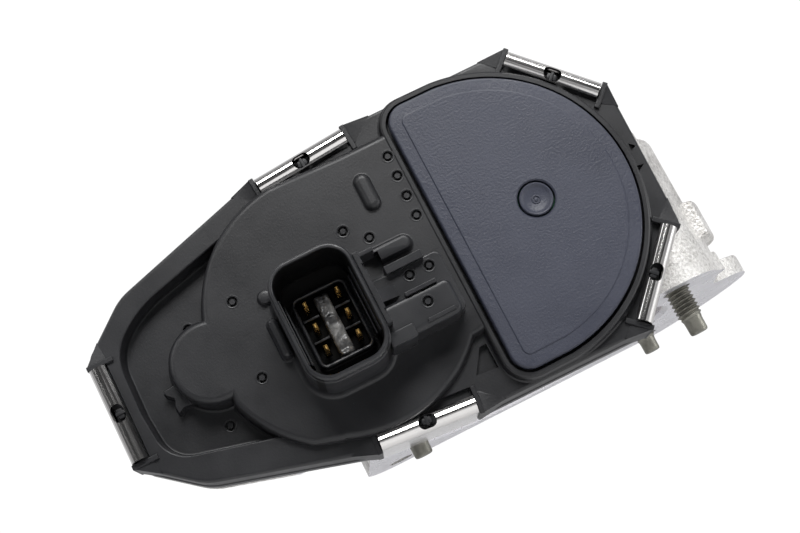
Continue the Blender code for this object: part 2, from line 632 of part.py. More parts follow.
# ---------------------------------------------------------------- throttle shaft and plate
# These are modelled with the plate square to the bore, then turned to the rest angle about the shaft's axis.
THROTTLE_AXIS.rotation_euler = (0, math.radians(REST_ANGLE), 0)
SLOT = 2.6
shaft = turned("throttle_shaft", [(0, -50.5), (4.4, -50.5), (4.8, -50), (4.8, 57.4), (3.0, 57.4), (3.0, 59.2), (0, 59.2)][::-1],
               (0, 0, AXIS_Z), "Y", 20)
cut(shaft, ride(box("plate_slot", (-6, -37.4, AXIS_Z - SLOT / 2), (6, 37.4, AXIS_Z + SLOT / 2), tool=True), THROTTLE_AXIS))
SCREW_Y = (-15.0, 15.0)
plate = prism("throttle_plate", circle(0, 0, BORE_R - 0.6, 48), AXIS_Z - 1.0, AXIS_Z + 1.0, "Z")
for i, y in enumerate(SCREW_Y):
    cut(shaft, ride(prism(f"shaft_screw_hole_{i}", circle(0, y, 2.1, 12), AXIS_Z - 8, AXIS_Z + 8, "Z", tool=True), THROTTLE_AXIS),
        ride(prism(f"head_pocket_{i}", circle(0, y, 3.6, 12), AXIS_Z + 3.6, AXIS_Z + 8, "Z", tool=True), THROTTLE_AXIS))
    cut(plate, ride(prism(f"plate_screw_hole_{i}", circle(0, y, 2.1, 12), AXIS_Z - 8, AXIS_Z + 8, "Z", tool=True), THROTTLE_AXIS))
    screw = turned(f"plate_screw_{i + 1}", [(0, 5.6), (2.6, 5.6), (3.2, 5.0), (3.2, 3.9), (1.75, 3.9), (1.75, -4.6), (0, -4.6)],
                   (0, y, AXIS_Z), steps=14)
    finish(screw, "dark_steel", THROTTLE_AXIS)
finish(shaft, "dark_steel", THROTTLE_AXIS)
finish(plate, "brass", THROTTLE_AXIS)

# sector gear: teeth from just above the idler's side down to the bottom, at the rest pose
SECTOR_LOW, SECTOR_HIGH = -57.6, -52.8
PITCH_2 = 360 / SECTOR_TEETH
first = -3
count = 17
teeth = toothed(SECTOR_TEETH, MODULE_2, 180 + PITCH_2 / 2 + REST_ANGLE, first, count, steps=1)
start_angle = math.degrees(math.atan2(teeth[0][1], teeth[0][0])) % 360
end_angle = math.degrees(math.atan2(teeth[-1][1], teeth[-1][0])) % 360
hub = arc(0, 0, 11.0, end_angle + 28, start_angle + 360 - 28, 12)
web_r = MODULE_2 * SECTOR_TEETH / 2 - 4.2
sector = prism("sector_gear", shifted(teeth + hub, 0, AXIS_Z), SECTOR_LOW, SECTOR_HIGH,
               holes=[shifted(arc(0, 0, web_r, start_angle + 9, end_angle - 9, 8) + arc(0, 0, 13.5, end_angle - 16, start_angle + 16, 6),
                              0, AXIS_Z)])
cut(sector, drill("sector_bore", 0, AXIS_Z, 5.15, -60, -50, 16))
finish(sector, "nylon", THROTTLE_AXIS)
rotor = prism("sensor_rotor", circle(0, AXIS_Z, 9.6, 20), -58.9, -57.9, holes=[circle(0, AXIS_Z, 6.6, 16)])
finish(rotor, "steel", THROTTLE_AXIS)
nut = prism("shaft_nut", circle(0, AXIS_Z, 5.6, 6), -59.2, -57.9, holes=[circle(0, AXIS_Z, 3.35, 12)])
finish(nut, "steel", THROTTLE_AXIS)

# ---------------------------------------------------------------- return spring
def spring_points(radius, low, high, turns, per_turn, legs):
    points = [(radius, -legs, low)]
    total = int(turns * per_turn)
    for i in range(total + 1):
        a = 2 * math.pi * i / per_turn
        points.append((radius * math.cos(a), radius * math.sin(a), low + (high - low) * i / total))
    a = 2 * math.pi * turns
    points.append((radius * math.cos(a) - legs * math.sin(a), radius * math.sin(a) + legs * math.cos(a), high))
    return points


curve = bpy.data.curves.new("return_spring", "CURVE")
curve.dimensions = "3D"
curve.bevel_depth = 0.6 * MM
curve.bevel_resolution = 1
curve.use_fill_caps = True
spline = curve.splines.new("POLY")
path = spring_points(10.4, 47.1, 51.7, 3.0, 16, 5.0)
spline.points.add(len(path) - 1)
for point, (x, y, z) in zip(spline.points, path):
    point.co = (x * MM, y * MM, z * MM, 1)
spring = bpy.data.objects.new("return_spring", curve)
spring.matrix_world = Matrix.Translation((0, 0, AXIS_Z * MM)) @ AXES["Y"]
PARTS.objects.link(spring)
spring_material = bpy.data.materials.new("return_spring")
spring_material.use_nodes = True
spring_material.node_tree.nodes["Principled BSDF"].inputs["Metallic"].default_value = 1.0
spring_material.node_tree.nodes["Principled BSDF"].inputs["Roughness"].default_value = 0.3
curve.materials.append(spring_material)
spring.parent = HOUSING

sleeve = turned("spring_sleeve", [(5.4, 52.5), (9.0, 52.5), (9.0, 46.9), (9.4, 46.9), (9.4, 46.4), (5.4, 46.4)], (0, 0, AXIS_Z), "Y", 24,
                ring=True)
finish(sleeve, "nylon", HOUSING)

# ---------------------------------------------------------------- idler gear
large = toothed(IDLER_TEETH, MODULE_1, 180.0, steps=0)
idler = prism("idler_gear", shifted(large, IDLER_X, AXIS_Z), -51.4, -47.0)
add(idler, prism("idler_small", shifted(toothed(SMALL_TEETH, MODULE_2, 0.0, steps=2), IDLER_X, AXIS_Z), -57.6, -51.0, tool=True))
cut(idler, drill("idler_bore", IDLER_X, AXIS_Z, 2.8, -60, -45, 16))
for k in range(5):
    a = math.radians(36 + 72 * k)
    cut(idler, drill(f"idler_window_{k}", IDLER_X + 15.2 * math.cos(a), AXIS_Z + 15.2 * math.sin(a), 4.3, -52, -46, 8))
finish(idler, "nylon", IDLER_AXIS)
pin = turned("idler_pin", [(0, 59.0), (2.1, 59.0), (2.5, 58.6), (2.5, 44.9), (0, 44.9)], (IDLER_X, 0, AXIS_Z), "Y", 16)
finish(pin, "steel", HOUSING)
washer = turned("idler_washer", [(2.8, 46.7), (5.4, 46.7), (5.4, 46.3), (2.8, 46.3)], (IDLER_X, 0, AXIS_Z), "Y", 20, ring=True)
finish(washer, "steel", HOUSING)

# ---------------------------------------------------------------- motor
pinion_teeth = toothed(PINION_TEETH, MODULE_1, 180 / PINION_TEETH, steps=2)
pinion = prism("drive_pinion", shifted(pinion_teeth, MOTOR_X, AXIS_Z), -52.6, -47.0,
               holes=[shifted(circle(0, 0, 1.9, 12), MOTOR_X, AXIS_Z)])
finish(pinion, "brass", MOTOR_AXIS)
motor_rotor = turned("motor_rotor", [(0, 52.9), (1.6, 52.9), (1.6, 40.4), (5.0, 40.4), (5.0, 33.5), (8.6, 32.5), (9.4, 30.0), (11.0, 30.0),
                                     (11.0, 4.0), (9.4, 4.0), (8.0, 0.5), (1.6, 0.5), (1.6, -8.0), (0, -8.0)],
                     (MOTOR_X, 0, AXIS_Z), "Y", 20)
finish(motor_rotor, "copper", MOTOR_AXIS)
can = turned("motor_can", [(MOTOR_R - 1, 44.0), (MOTOR_R, 44.0), (MOTOR_R, -6.0), (MOTOR_R - 1.5, -7.4), (5.0, -7.4), (5.0, -9.4),
                           (2.0, -9.4), (2.0, -6.2), (MOTOR_R - 1, -6.2)], (MOTOR_X, 0, AXIS_Z), "Y", 24, ring=True)
finish(can, "steel", HOUSING)
for i, mid in enumerate((0, 180)):
    magnet = prism(f"motor_magnet_{i + 1}", shifted(arc(0, 0, MOTOR_R - 1.3, mid - 65, mid + 65, 10)
                                                   + arc(0, 0, 11.9, mid + 65, mid - 65, 10), MOTOR_X, AXIS_Z), -33.0, -2.0)
    finish(magnet, "magnet", HOUSING)
end_plate = prism("motor_end_plate", end_plate_outline(), -46.2, -44.8)
cut(end_plate, drill("end_plate_centre", MOTOR_X, AXIS_Z, 2.6, -48, -42, 12),
    *[drill(f"end_plate_{name}", x, z, 1.9, -48, -42, 10) for name, (x, z) in MOTOR_SCREWS.items()],
    *[prism(f"end_plate_slot_{i}", rectangle(MOTOR_X - 8, AXIS_Z + dz, 1.6, 5.0), -48, -42, tool=True) for i, dz in enumerate((-6, 6))])
finish(end_plate, "dark_steel", HOUSING)
for name, (x, z) in MOTOR_SCREWS.items():
    screw = turned(name, [(0, 48.6), (1.9, 48.6), (2.4, 48.0), (2.4, 46.5), (1.6, 46.5), (1.6, 37.6), (0, 37.6)], (x, 0, z), "Y", 12)
    finish(screw, "steel", HOUSING)
for i, dz in enumerate((-6, 6)):
    blade = prism(f"motor_terminal_{i + 1}", rectangle(MOTOR_X - 8, AXIS_Z + dz, 0.8, 4.2), -53.0, -40.0)
    finish(blade, "brass", HOUSING)
wave = turned("motor_wave_washer", [(8.0, -9.9), (12.5, -9.9), (12.5, -10.9), (8.0, -10.9)], (MOTOR_X, 0, AXIS_Z), "Y", 24, ring=True)
finish(wave, "steel", HOUSING)

# ---------------------------------------------------------------- bearings and seal
near = turned("bearing_gear_side", [(5.1, 46.0), (8.9, 46.0), (8.9, 41.6), (5.1, 41.6)], (0, 0, AXIS_Z), "Y", 24, ring=True)
finish(near, "steel", HOUSING)
far = turned("bearing_far_side", [(5.1, -44.0), (8.3, -44.0), (8.3, -49.8), (5.1, -49.8)], (0, 0, AXIS_Z), "Y", 24, ring=True)
finish(far, "steel", HOUSING)
seal = turned("shaft_seal", [(5.1, -39.7), (8.3, -39.7), (8.3, -43.5), (6.2, -43.5), (6.2, -41.2), (5.1, -40.9)], (0, 0, AXIS_Z), "Y", 24,
              ring=True)
finish(seal, "rubber", HOUSING)
end_plug = turned("bearing_end_plug", [(0, -51.0), (8.3, -51.0), (8.3, -53.6), (7.4, -53.6), (7.4, -52.2), (0, -52.2)],
                  (0, 0, AXIS_Z), "Y", 24)
finish(end_plug, "steel", HOUSING)

stop_screw = turned("stop_screw", [(0, 21.4), (2.2, 21.4), (2.2, 19.7), (1.3, 19.7), (1.3, 10.7), (0, 10.7)], (0, STOP_Y, STOP_Z), "X", 12)
finish(stop_screw, "steel", HOUSING)
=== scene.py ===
"""Looks for the electronic throttle body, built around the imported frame.

Sizes are in millimetres and turned to metres by MM. Outlines lie in x and z, and a height h is a distance towards -Y,
so a larger h is nearer the viewer of the gear cover.
"""

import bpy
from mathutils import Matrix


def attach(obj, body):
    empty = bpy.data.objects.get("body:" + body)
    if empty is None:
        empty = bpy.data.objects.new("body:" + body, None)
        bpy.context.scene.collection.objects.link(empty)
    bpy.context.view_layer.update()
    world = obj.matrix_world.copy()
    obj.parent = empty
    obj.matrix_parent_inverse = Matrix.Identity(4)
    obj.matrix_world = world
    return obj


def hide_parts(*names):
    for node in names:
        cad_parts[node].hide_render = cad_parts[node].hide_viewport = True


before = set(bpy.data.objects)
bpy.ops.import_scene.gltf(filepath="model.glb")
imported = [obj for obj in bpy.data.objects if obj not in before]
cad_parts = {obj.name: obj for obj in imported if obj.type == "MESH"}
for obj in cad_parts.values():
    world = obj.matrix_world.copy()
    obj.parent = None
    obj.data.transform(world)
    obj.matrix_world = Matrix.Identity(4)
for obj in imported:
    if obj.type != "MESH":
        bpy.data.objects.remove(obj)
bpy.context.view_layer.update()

import math

import bmesh
import bpy
from mathutils import Matrix, Vector, noise

MM = 0.001
AXIS_Z = 28.0


# ================================================================ outlines
def arc(cx, cy, r, start, end, steps):
    return [
        (cx + r * math.cos(math.radians(start + (end - start) * i / steps)),
         cy + r * math.sin(math.radians(start + (end - start) * i / steps)))
        for i in range(steps + 1)
    ]


def circle(cx, cy, r, steps=32):
    return arc(cx, cy, r, 0, 360 * (steps - 1) / steps, steps - 1)


def filleted(corners, out=0.0, seg=6):
    """A closed outline through corners (x, z, radius), moved outwards. Every corner gives the same number of points at
    any offset, so that outlines at different offsets can be joined into a wall."""
    n = len(corners)
    area = sum(corners[i][0] * corners[(i + 1) % n][1] - corners[(i + 1) % n][0] * corners[i][1] for i in range(n))
    if area < 0:
        corners = corners[::-1]
    moved = []
    for i in range(n):
        p, q, s = (Vector(corners[(i + k) % n][:2]) for k in (-1, 0, 1))
        a, b = (q - p).normalized(), (s - q).normalized()
        na, nb = Vector((a.y, -a.x)), Vector((b.y, -b.x))
        middle = na + nb
        moved.append(q + middle * (out / max(0.3, 1 + na.dot(nb))))
    points = []
    for i in range(n):
        p, q, s = moved[i - 1], moved[i], moved[(i + 1) % n]
        before, after = (p - q).normalized(), (s - q).normalized()
        inside = before.angle(after)
        convex = before.x * after.y - before.y * after.x < 0
        r = corners[i][2] + (out if convex else -out)
        r = max(0.08, r)
        r = min(r, 0.49 * min((p - q).length, (s - q).length) * math.tan(inside / 2))
        if inside > math.radians(179.5):
            points += [tuple(q + before * 0.02 * (1 - 2 * k / seg)) for k in range(seg + 1)]
            continue
        centre = q + (before + after).normalized() * (r / math.sin(inside / 2))
        first = q + before * (r / math.tan(inside / 2)) - centre
        turn = (math.pi - inside) * (1 if convex else -1)
        for k in range(seg + 1):
            t = turn * k / seg
            points.append((centre.x + first.x * math.cos(t) - first.y * math.sin(t),
                           centre.y + first.x * math.sin(t) + first.y * math.cos(t)))
    return points


def mirrored(upper):
    top = [(x, AXIS_Z + h, r) for x, h, r in upper]
    return top + [(x, 2 * AXIS_Z - z, r) for x, z, r in reversed(top)]


COVER_UPPER = [
    (37.5, 17.2, 1.5), (20.4, 35.3, 1.5), (-19.5, 35.3, 3), (-45.5, 33.0, 3), (-80.5, 22.6, 13), (-92.0, 13.2, 3),
]
COVER_CORNERS = mirrored(COVER_UPPER)[:-2] + [(19.6, -7.7, 1.5), (36.7, 10.6, 1.5)]
PANEL_CORNERS = [(-50.0, 53.6, 0.3), (-77.0, 46.6, 24), (-86.0, 40.0, 11), (-86.3, 25.0, 14), (-85.2, 13.75, 7.5), (-50.0, 4.4, 0.3)]


def cover_at(out):
    return filleted(COVER_CORNERS, out)


def panel_at(out):
    return filleted(PANEL_CORNERS, out, 8)


def cap_at(out, steps=64):
    r = 32.7 + out
    left, top, bottom = -11.1 - out, 28.3 + 32.7 + out, 28.3 - 32.7 - out
    corner = 4.6 + out
    return (
        arc(-1.0, 28.3, r, -86, 86, steps)
        + arc(left + corner, top - corner, corner, 92, 180, 10)
        + arc(left + corner, bottom + corner, corner, 180, 268, 10)
    )


def dome_at(out):
    r = 29.7 + out
    return (
        [(-12.9, 8.2 - out)]
        + arc(-37.8, 27.9, r, -42, -264, 72)
        + [(-24.0, 56.8 + out), (-12.9, 56.8 + out)]
    )


def dome_foot_at(out):
    r = 31.4 + out
    ends = [(-37.8 + (29.9 + out) * math.cos(math.radians(a)), 27.9 + (29.9 + out) * math.sin(math.radians(a))) for a in (190, 246)]
    return [ends[0]] + arc(-37.8, 27.9, r, 199, 234, 18) + [ends[1], (-45.0, 20.0)]


def box_at(cx, cz, w, h, r=0.5, seg=5):
    def outline(out):
        a, b = w / 2, h / 2
        return filleted([(cx + a, cz - b, r), (cx + a, cz + b, r), (cx - a, cz + b, r), (cx - a, cz - b, r)], out, seg)
    return outline


def corners_at(corners, seg=5):
    return lambda out: filleted(corners, out, seg)


def round_at(cx, cz, r, steps=28):
    return lambda out: circle(cx, cz, r + out, steps)


# ================================================================ meshes
def new_object(name, verts, faces):
    mesh = bpy.data.meshes.new(name)
    mesh.from_pydata([tuple(c * MM for c in v) for v in verts], [], faces)
    bm = bmesh.new()
    bm.from_mesh(mesh)
    bmesh.ops.remove_doubles(bm, verts=bm.verts, dist=2e-6)
    bmesh.ops.recalc_face_normals(bm, faces=bm.faces)
    bm.to_mesh(mesh)
    bm.free()
    obj = bpy.data.objects.new(name, mesh)
    bpy.context.scene.collection.objects.link(obj)
    return obj


def loft(name, outline, profile, along="Y", ring=False):
    """A wall through outlines at (outward offset, height), closed at both ends, or closed on itself if ring is true."""
    verts, faces = [], []
    for out, h in profile:
        for a, b in outline(out):
            verts.append({"Y": (a, -h, b), "Z": (a, b, h), "X": (h, a, b)}[along])
    n = len(verts) // len(profile)
    rows = len(profile)
    for k in range(rows if ring else rows - 1):
        m = (k + 1) % rows
        for i in range(n):
            j = (i + 1) % n
            faces.append((k * n + i, k * n + j, m * n + j, m * n + i))
    if not ring:
        faces.append(tuple(range(n))[::-1])
        faces.append(tuple((rows - 1) * n + i for i in range(n)))
    return new_object(name, verts, faces)


def plain(name, outline, low, high, along="Y", edge=0.0, foot=0.0):
    """A straight wall between two heights, with a rounded far edge and a filleted foot if asked for."""
    profile = []
    if foot:
        profile += [(foot * 0.999, low - 0.3)]
        profile += [(foot * (1 - math.sin(math.radians(a))), low + foot * (1 - math.cos(math.radians(a)))) for a in (0, 22, 45, 67, 90)]
    else:
        profile += [(0, low)]
    if edge:
        profile += [(-edge * (1 - math.cos(math.radians(a))), high - edge * (1 - math.sin(math.radians(a)))) for a in (0, 30, 60, 90)]
    else:
        profile += [(0, high)]
    return loft(name, outline, profile, along)


def turned(name, profile, at=(0, 0, 0), along="Z", steps=48, ring=False):
    """Points (radius, height) turned about an axis through `at`. Along Y, heights are towards -Y."""
    verts, faces, rows = [], [], []
    for r, h in profile:
        rows.append(len(verts))
        count = 1 if r < 1e-6 else steps
        for i in range(count):
            t = 2 * math.pi * i / steps
            a, b = r * math.cos(t), r * math.sin(t)
            v = {"Y": (a, -h, b), "Z": (a, b, h), "X": (h, a, b)}[along]
            verts.append((v[0] + at[0], v[1] + at[1], v[2] + at[2]))
    total = len(profile)
    for k in range(total if ring else total - 1):
        m = (k + 1) % total
        one, two = profile[k][0] < 1e-6, profile[m][0] < 1e-6
        for i in range(steps):
            j = (i + 1) % steps
            if one and two:
                break
            if one:
                faces.append((rows[k], rows[m] + j, rows[m] + i))
            elif two:
                faces.append((rows[k] + i, rows[k] + j, rows[m]))
            else:
                faces.append((rows[k] + i, rows[k] + j, rows[m] + j, rows[m] + i))
    if not ring:
        for k, flip in ((0, True), (total - 1, False)):
            if profile[k][0] >= 1e-6:
                cap = tuple(rows[k] + i for i in range(steps))
                faces.append(cap[::-1] if flip else cap)
    return new_object(name, verts, faces)


def solid_box(name, low, high):
    x0, y0, z0 = low
    x1, y1, z1 = high
    verts = [(x, y, z) for x in (x0, x1) for y in (y0, y1) for z in (z0, z1)]
    return new_object(name, verts, [(0, 1, 3, 2), (4, 6, 7, 5), (0, 4, 5, 1), (2, 3, 7, 6), (0, 2, 6, 4), (1, 5, 7, 3)])


def hull(name, points):
    """The smallest convex solid round some points."""
    bm = bmesh.new()
    for p in points:
        bm.verts.new([c * MM for c in p])
    done = bmesh.ops.convex_hull(bm, input=bm.verts)
    loose = [v for v in done["geom_interior"] + done["geom_unused"] if isinstance(v, bmesh.types.BMVert)]
    bmesh.ops.delete(bm, geom=list(set(loose)), context="VERTS")
    bmesh.ops.recalc_face_normals(bm, faces=bm.faces)
    mesh = bpy.data.meshes.new(name)
    bm.to_mesh(mesh)
    bm.free()
    obj = bpy.data.objects.new(name, mesh)
    bpy.context.scene.collection.objects.link(obj)
    return obj


def baked(obj):
    """The object's modifiers applied to its mesh."""
    graph = bpy.context.evaluated_depsgraph_get()
    graph.update()
    mesh = bpy.data.meshes.new_from_object(obj.evaluated_get(graph))
    old = obj.data
    obj.modifiers.clear()
    obj.data = mesh
    bpy.data.meshes.remove(old)
    return obj


def joined(name, objs):
    """Several closed shells in one mesh, with nothing merged."""
    bm = bmesh.new()
    for o in objs:
        part = o.data.copy()
        part.transform(o.matrix_world)
        bm.from_mesh(part)
        bpy.data.meshes.remove(part)
    mesh = bpy.data.meshes.new(name)
    bm.to_mesh(mesh)
    bm.free()
    for o in objs:
        bpy.data.objects.remove(o, do_unlink=True)
    obj = bpy.data.objects.new(name, mesh)
    bpy.context.scene.collection.objects.link(obj)
    return obj


def boolean(target, tools, operation, solver="MANIFOLD"):
    for tool in tools:
        before = len(target.data.polygons)
        modifier = target.modifiers.new("b", "BOOLEAN")
        modifier.operation = operation
        modifier.object = tool
        modifier.solver = solver
        baked(target)
        if len(target.data.polygons) < max(4, before // 4):
            print("BOOLEAN lost the mesh:", target.name, tool.name, before, len(target.data.polygons))
    for tool in tools:
        bpy.data.objects.remove(tool, do_unlink=True)
    return target


def unite(target, *tools):
    return boolean(target, tools, "UNION")


def carve(target, *tools):
    return boolean(target, tools, "DIFFERENCE")


def shade(obj, angle=32, weighted=True):
    obj.data.shade_smooth()
    obj.data.set_sharp_from_angle(angle=math.radians(angle))
    if weighted:
        modifier = obj.modifiers.new("normals", "WEIGHTED_NORMAL")
        modifier.keep_sharp = True
        modifier.weight = 80
    return obj


# ================================================================ materials
class Nodes:
    """A short way to write a material's node tree."""

    def __init__(self, name):
        self.material = bpy.data.materials.new(name)
        self.material.use_nodes = True
        self.tree = self.material.node_tree
        self.shader = self.tree.nodes["Principled BSDF"]
        self.coords = self.tree.nodes.new("ShaderNodeTexCoord").outputs["Object"]

    def set(self, **values):
        for key, value in values.items():
            self.shader.inputs[key.replace("_", " ")].default_value = value
        return self

    def link(self, a, b):
        self.tree.links.new(a, b)

    def mapped(self, scale):
        node = self.tree.nodes.new("ShaderNodeMapping")
        node.inputs["Scale"].default_value = scale
        self.link(self.coords, node.inputs["Vector"])
        return node.outputs["Vector"]

    def noise(self, scale, detail=3.0, rough=0.55, vector=None):
        node = self.tree.nodes.new("ShaderNodeTexNoise")
        node.inputs["Scale"].default_value = scale
        node.inputs["Detail"].default_value = detail
        node.inputs["Roughness"].default_value = rough
        self.link(vector or self.coords, node.inputs["Vector"])
        return node.outputs["Fac"]

    def cells(self, scale, vector=None, feature="F1"):
        node = self.tree.nodes.new("ShaderNodeTexVoronoi")
        node.feature = feature
        node.inputs["Scale"].default_value = scale
        self.link(vector or self.coords, node.inputs["Vector"])
        return node.outputs["Distance"]

    def ramp(self, source, stops):
        node = self.tree.nodes.new("ShaderNodeValToRGB")
        ramp = node.color_ramp
        while len(ramp.elements) < len(stops):
            ramp.elements.new(0.5)
        for element, (at, colour) in zip(ramp.elements, stops):
            element.position = at
            element.color = (*colour, 1) if isinstance(colour, tuple) else (colour, colour, colour, 1)
        self.link(source, node.inputs["Fac"])
        return node.outputs["Color"]

    def math(self, operation, a, b=0.5):
        node = self.tree.nodes.new("ShaderNodeMath")
        node.operation = operation
        for socket, value in zip(node.inputs, (a, b)):
            if isinstance(value, (int, float)):
                socket.default_value = value
            else:
                self.link(value, socket)
        return node.outputs[0]

    def bump(self, height, distance, strength=1.0, after=None):
        node = self.tree.nodes.new("ShaderNodeBump")
        node.inputs["Distance"].default_value = distance
        node.inputs["Strength"].default_value = strength
        self.link(height, node.inputs["Height"])
        if after is not None:
            self.link(after, node.inputs["Normal"])
        return node.outputs["Normal"]

    def normal(self, socket):
        self.link(socket, self.shader.inputs["Normal"])
        return self

    def colour(self, socket):
        self.link(socket, self.shader.inputs["Base Color"])
        return self

    def roughness(self, socket):
        self.link(socket, self.shader.inputs["Roughness"])
        return self


def moulded(name, dark, light, rough, grain=2600, depth=0.00003, specular=0.5):
    """Glass-filled plastic: a fine sandy skin, cloudy colour, faint scuffs and a few pale specks of dust."""
    m = Nodes(name)
    m.set(Metallic=0.0, Specular_IOR_Level=specular)
    cloud = m.noise(38, 4, 0.6)
    speck = m.ramp(m.cells(420), [(0.0, 1.0), (0.035, 1.0), (0.06, 0.0)])
    mask = m.ramp(m.noise(160, 2, 0.5), [(0.56, 0.0), (0.68, 1.0)])
    dust = m.math("MULTIPLY", speck, mask)
    base = m.ramp(cloud, [(0.28, dark), (0.72, light)])
    mix = m.tree.nodes.new("ShaderNodeMix")
    mix.data_type = "RGBA"
    mix.inputs["B"].default_value = (0.22, 0.22, 0.225, 1)
    m.link(m.math("MULTIPLY", dust, 0.22), mix.inputs["Factor"])
    m.link(base, mix.inputs["A"])
    m.colour(mix.outputs["Result"])
    wear = m.ramp(m.noise(75, 5, 0.65), [(0.3, rough - 0.07), (0.7, rough + 0.08)])
    m.roughness(wear)
    fine = m.bump(m.noise(grain, 3, 0.6), depth, 0.55)
    m.normal(m.bump(m.noise(230, 3, 0.5), 0.00008, 0.35, fine))
    return m.material


def cast(name):
    """Die-cast aluminium as blasted: warm light grey with a coarse grain."""
    m = Nodes(name)
    m.set(Metallic=0.85, Specular_IOR_Level=0.5)
    grains = m.noise(1500, 5, 0.62)
    patches = m.noise(60, 4, 0.6)
    both = m.math("MULTIPLY", m.math("ADD", m.math("MULTIPLY", grains, 1.1), patches), 0.5)
    m.colour(m.ramp(both, [(0.40, (0.26, 0.25, 0.24)), (0.5, (0.60, 0.585, 0.565)), (0.62, (0.88, 0.87, 0.85))]))
    m.roughness(m.ramp(m.noise(500, 3, 0.6), [(0.3, 0.44), (0.7, 0.62)]))
    first = m.bump(m.noise(1300, 4, 0.6), 0.0005, 0.9)
    m.normal(m.bump(m.noise(330, 3, 0.5), 0.0003, 0.35, first))
    return m.material


def machined(name, tint=(0.90, 0.89, 0.93), rough=0.3):
    """A cut face: bright, with fine turning marks."""
    m = Nodes(name)
    m.set(Metallic=0.7)
    rings = m.tree.nodes.new("ShaderNodeTexWave")
    rings.wave_type = "RINGS"
    rings.rings_direction = "SPHERICAL"
    rings.inputs["Scale"].default_value = 900
    rings.inputs["Distortion"].default_value = 1.2
    rings.inputs["Detail"].default_value = 2
    m.link(m.coords, rings.inputs["Vector"])
    m.colour(m.ramp(m.noise(90, 3), [(0.3, tuple(c * 0.88 for c in tint)), (0.7, tint)]))
    m.roughness(m.ramp(m.noise(260, 3), [(0.3, rough - 0.06), (0.7, rough + 0.08)]))
    m.normal(m.bump(rings.outputs["Fac"], 0.000006, 0.5))
    return m.material


def bright(name, tint=(0.83, 0.815, 0.80), rough=0.16, along=2, streak=2600):
    """Rolled bright steel: long fine streaks down one direction of the piece."""
    m = Nodes(name)
    m.set(Metallic=1.0)
    scale = [streak, streak, streak]
    scale[along] = 40
    lines = m.noise(1.0, 4, 0.6, m.mapped(scale))
    m.colour(m.ramp(m.noise(120, 3), [(0.3, tuple(c * 0.92 for c in tint)), (0.7, tint)]))
    m.roughness(m.ramp(lines, [(0.3, rough - 0.05), (0.7, rough + 0.09)]))
    m.normal(m.bump(lines, 0.00002, 0.35))
    return m.material


def metal(name, tint, rough, metallic=1.0, grain=900, depth=0.00003, spread=0.18):
    m = Nodes(name)
    m.set(Metallic=metallic)
    m.colour(m.ramp(m.noise(260, 4, 0.6), [(0.3, tuple(c * (1 - spread) for c in tint)), (0.7, tuple(min(1, c * (1 + spread)) for c in tint))]))
    m.roughness(m.ramp(m.noise(grain * 0.7, 3), [(0.3, max(0.05, rough - 0.08)), (0.7, rough + 0.1)]))
    m.normal(m.bump(m.noise(grain, 4, 0.6), depth, 0.6))
    return m.material


def gel(name):
    """Potting gel in the connector: grey, with a wavy skin."""
    m = Nodes(name)
    m.set(Metallic=0.0, Specular_IOR_Level=0.6)
    folds = m.noise(420, 3, 0.55)
    m.colour(m.ramp(folds, [(0.36, (0.035, 0.035, 0.036)), (0.52, (0.10, 0.10, 0.10)), (0.66, (0.24, 0.24, 0.235))]))
    m.roughness(m.ramp(m.noise(700, 2), [(0.3, 0.22), (0.7, 0.42)]))
    m.normal(m.bump(folds, 0.0004, 0.6))
    return m.material


BLACK = moulded("cover_plastic", (0.0098, 0.0100, 0.0116), (0.0175, 0.0179, 0.0203), 0.42, 2000, 0.00005)
# Lighter plastic for the connector insert and its ribs. On the cover's raised shroud and latch and on the mark lips,
# its lighter colour is painted light.
CONNECTOR_AND_PAINTED_LIGHT = moulded("connector_plastic_and_painted_light", (0.0145, 0.0149, 0.0170), (0.023, 0.0236, 0.0264), 0.36, 3000, 0.00003)
CAP = moulded("cap_plastic", (0.034, 0.0375, 0.056), (0.046, 0.0505, 0.074), 0.45, 1900, 0.00018, 0.5)
# Near-black plastic for the inside of the connector socket: painted shade.
SOCKET_PAINTED_SHADE = moulded("socket_painted_shade", (0.0025, 0.0025, 0.0028), (0.005, 0.005, 0.0055), 0.42, 3000, 0.00002, 0.3)
# Near-black plastic for the insert's cells and plinth: painted shade for the deep cells.
INSERT_PAINTED_SHADE = moulded("insert_painted_shade", (0.001, 0.001, 0.001), (0.0025, 0.0025, 0.0025), 0.6, 3000, 0.00002, 0.1)
CAST = cast("cast_aluminium")
CUT_FACE = machined("machined_aluminium")
PHOSPHATE = metal("bolt_phosphate", (0.235, 0.230, 0.200), 0.40, 0.75, 1800, 0.00006, 0.28)
STEEL = metal("ground_steel", (0.66, 0.66, 0.67), 0.24)
DARK_STEEL = metal("dark_steel", (0.30, 0.30, 0.29), 0.38)
BRASS = metal("plate_brass", (0.66, 0.50, 0.25), 0.3, spread=0.08)
GOLD = metal("terminal_gold", (0.95, 0.60, 0.19), 0.25, 0.8, spread=0.05)
COPPER = metal("winding_copper", (0.62, 0.30, 0.16), 0.4, grain=1500, depth=0.0001)
MAGNET = metal("magnet_ferrite", (0.06, 0.06, 0.062), 0.6, 0.2)
NYLON = moulded("gear_nylon", (0.50, 0.48, 0.40), (0.60, 0.58, 0.49), 0.42)
RUBBER = moulded("seal_rubber", (0.010, 0.010, 0.010), (0.016, 0.016, 0.016), 0.62)
BOARD = moulded("board_green", (0.012, 0.10, 0.045), (0.02, 0.15, 0.07), 0.4)
GEL = gel("connector_gel")


def place(obj, material, nodes, body="housing"):
    obj.data.materials.clear()
    obj.data.materials.append(material)
    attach(obj, body)
    if nodes:
        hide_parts(*nodes)
    return obj


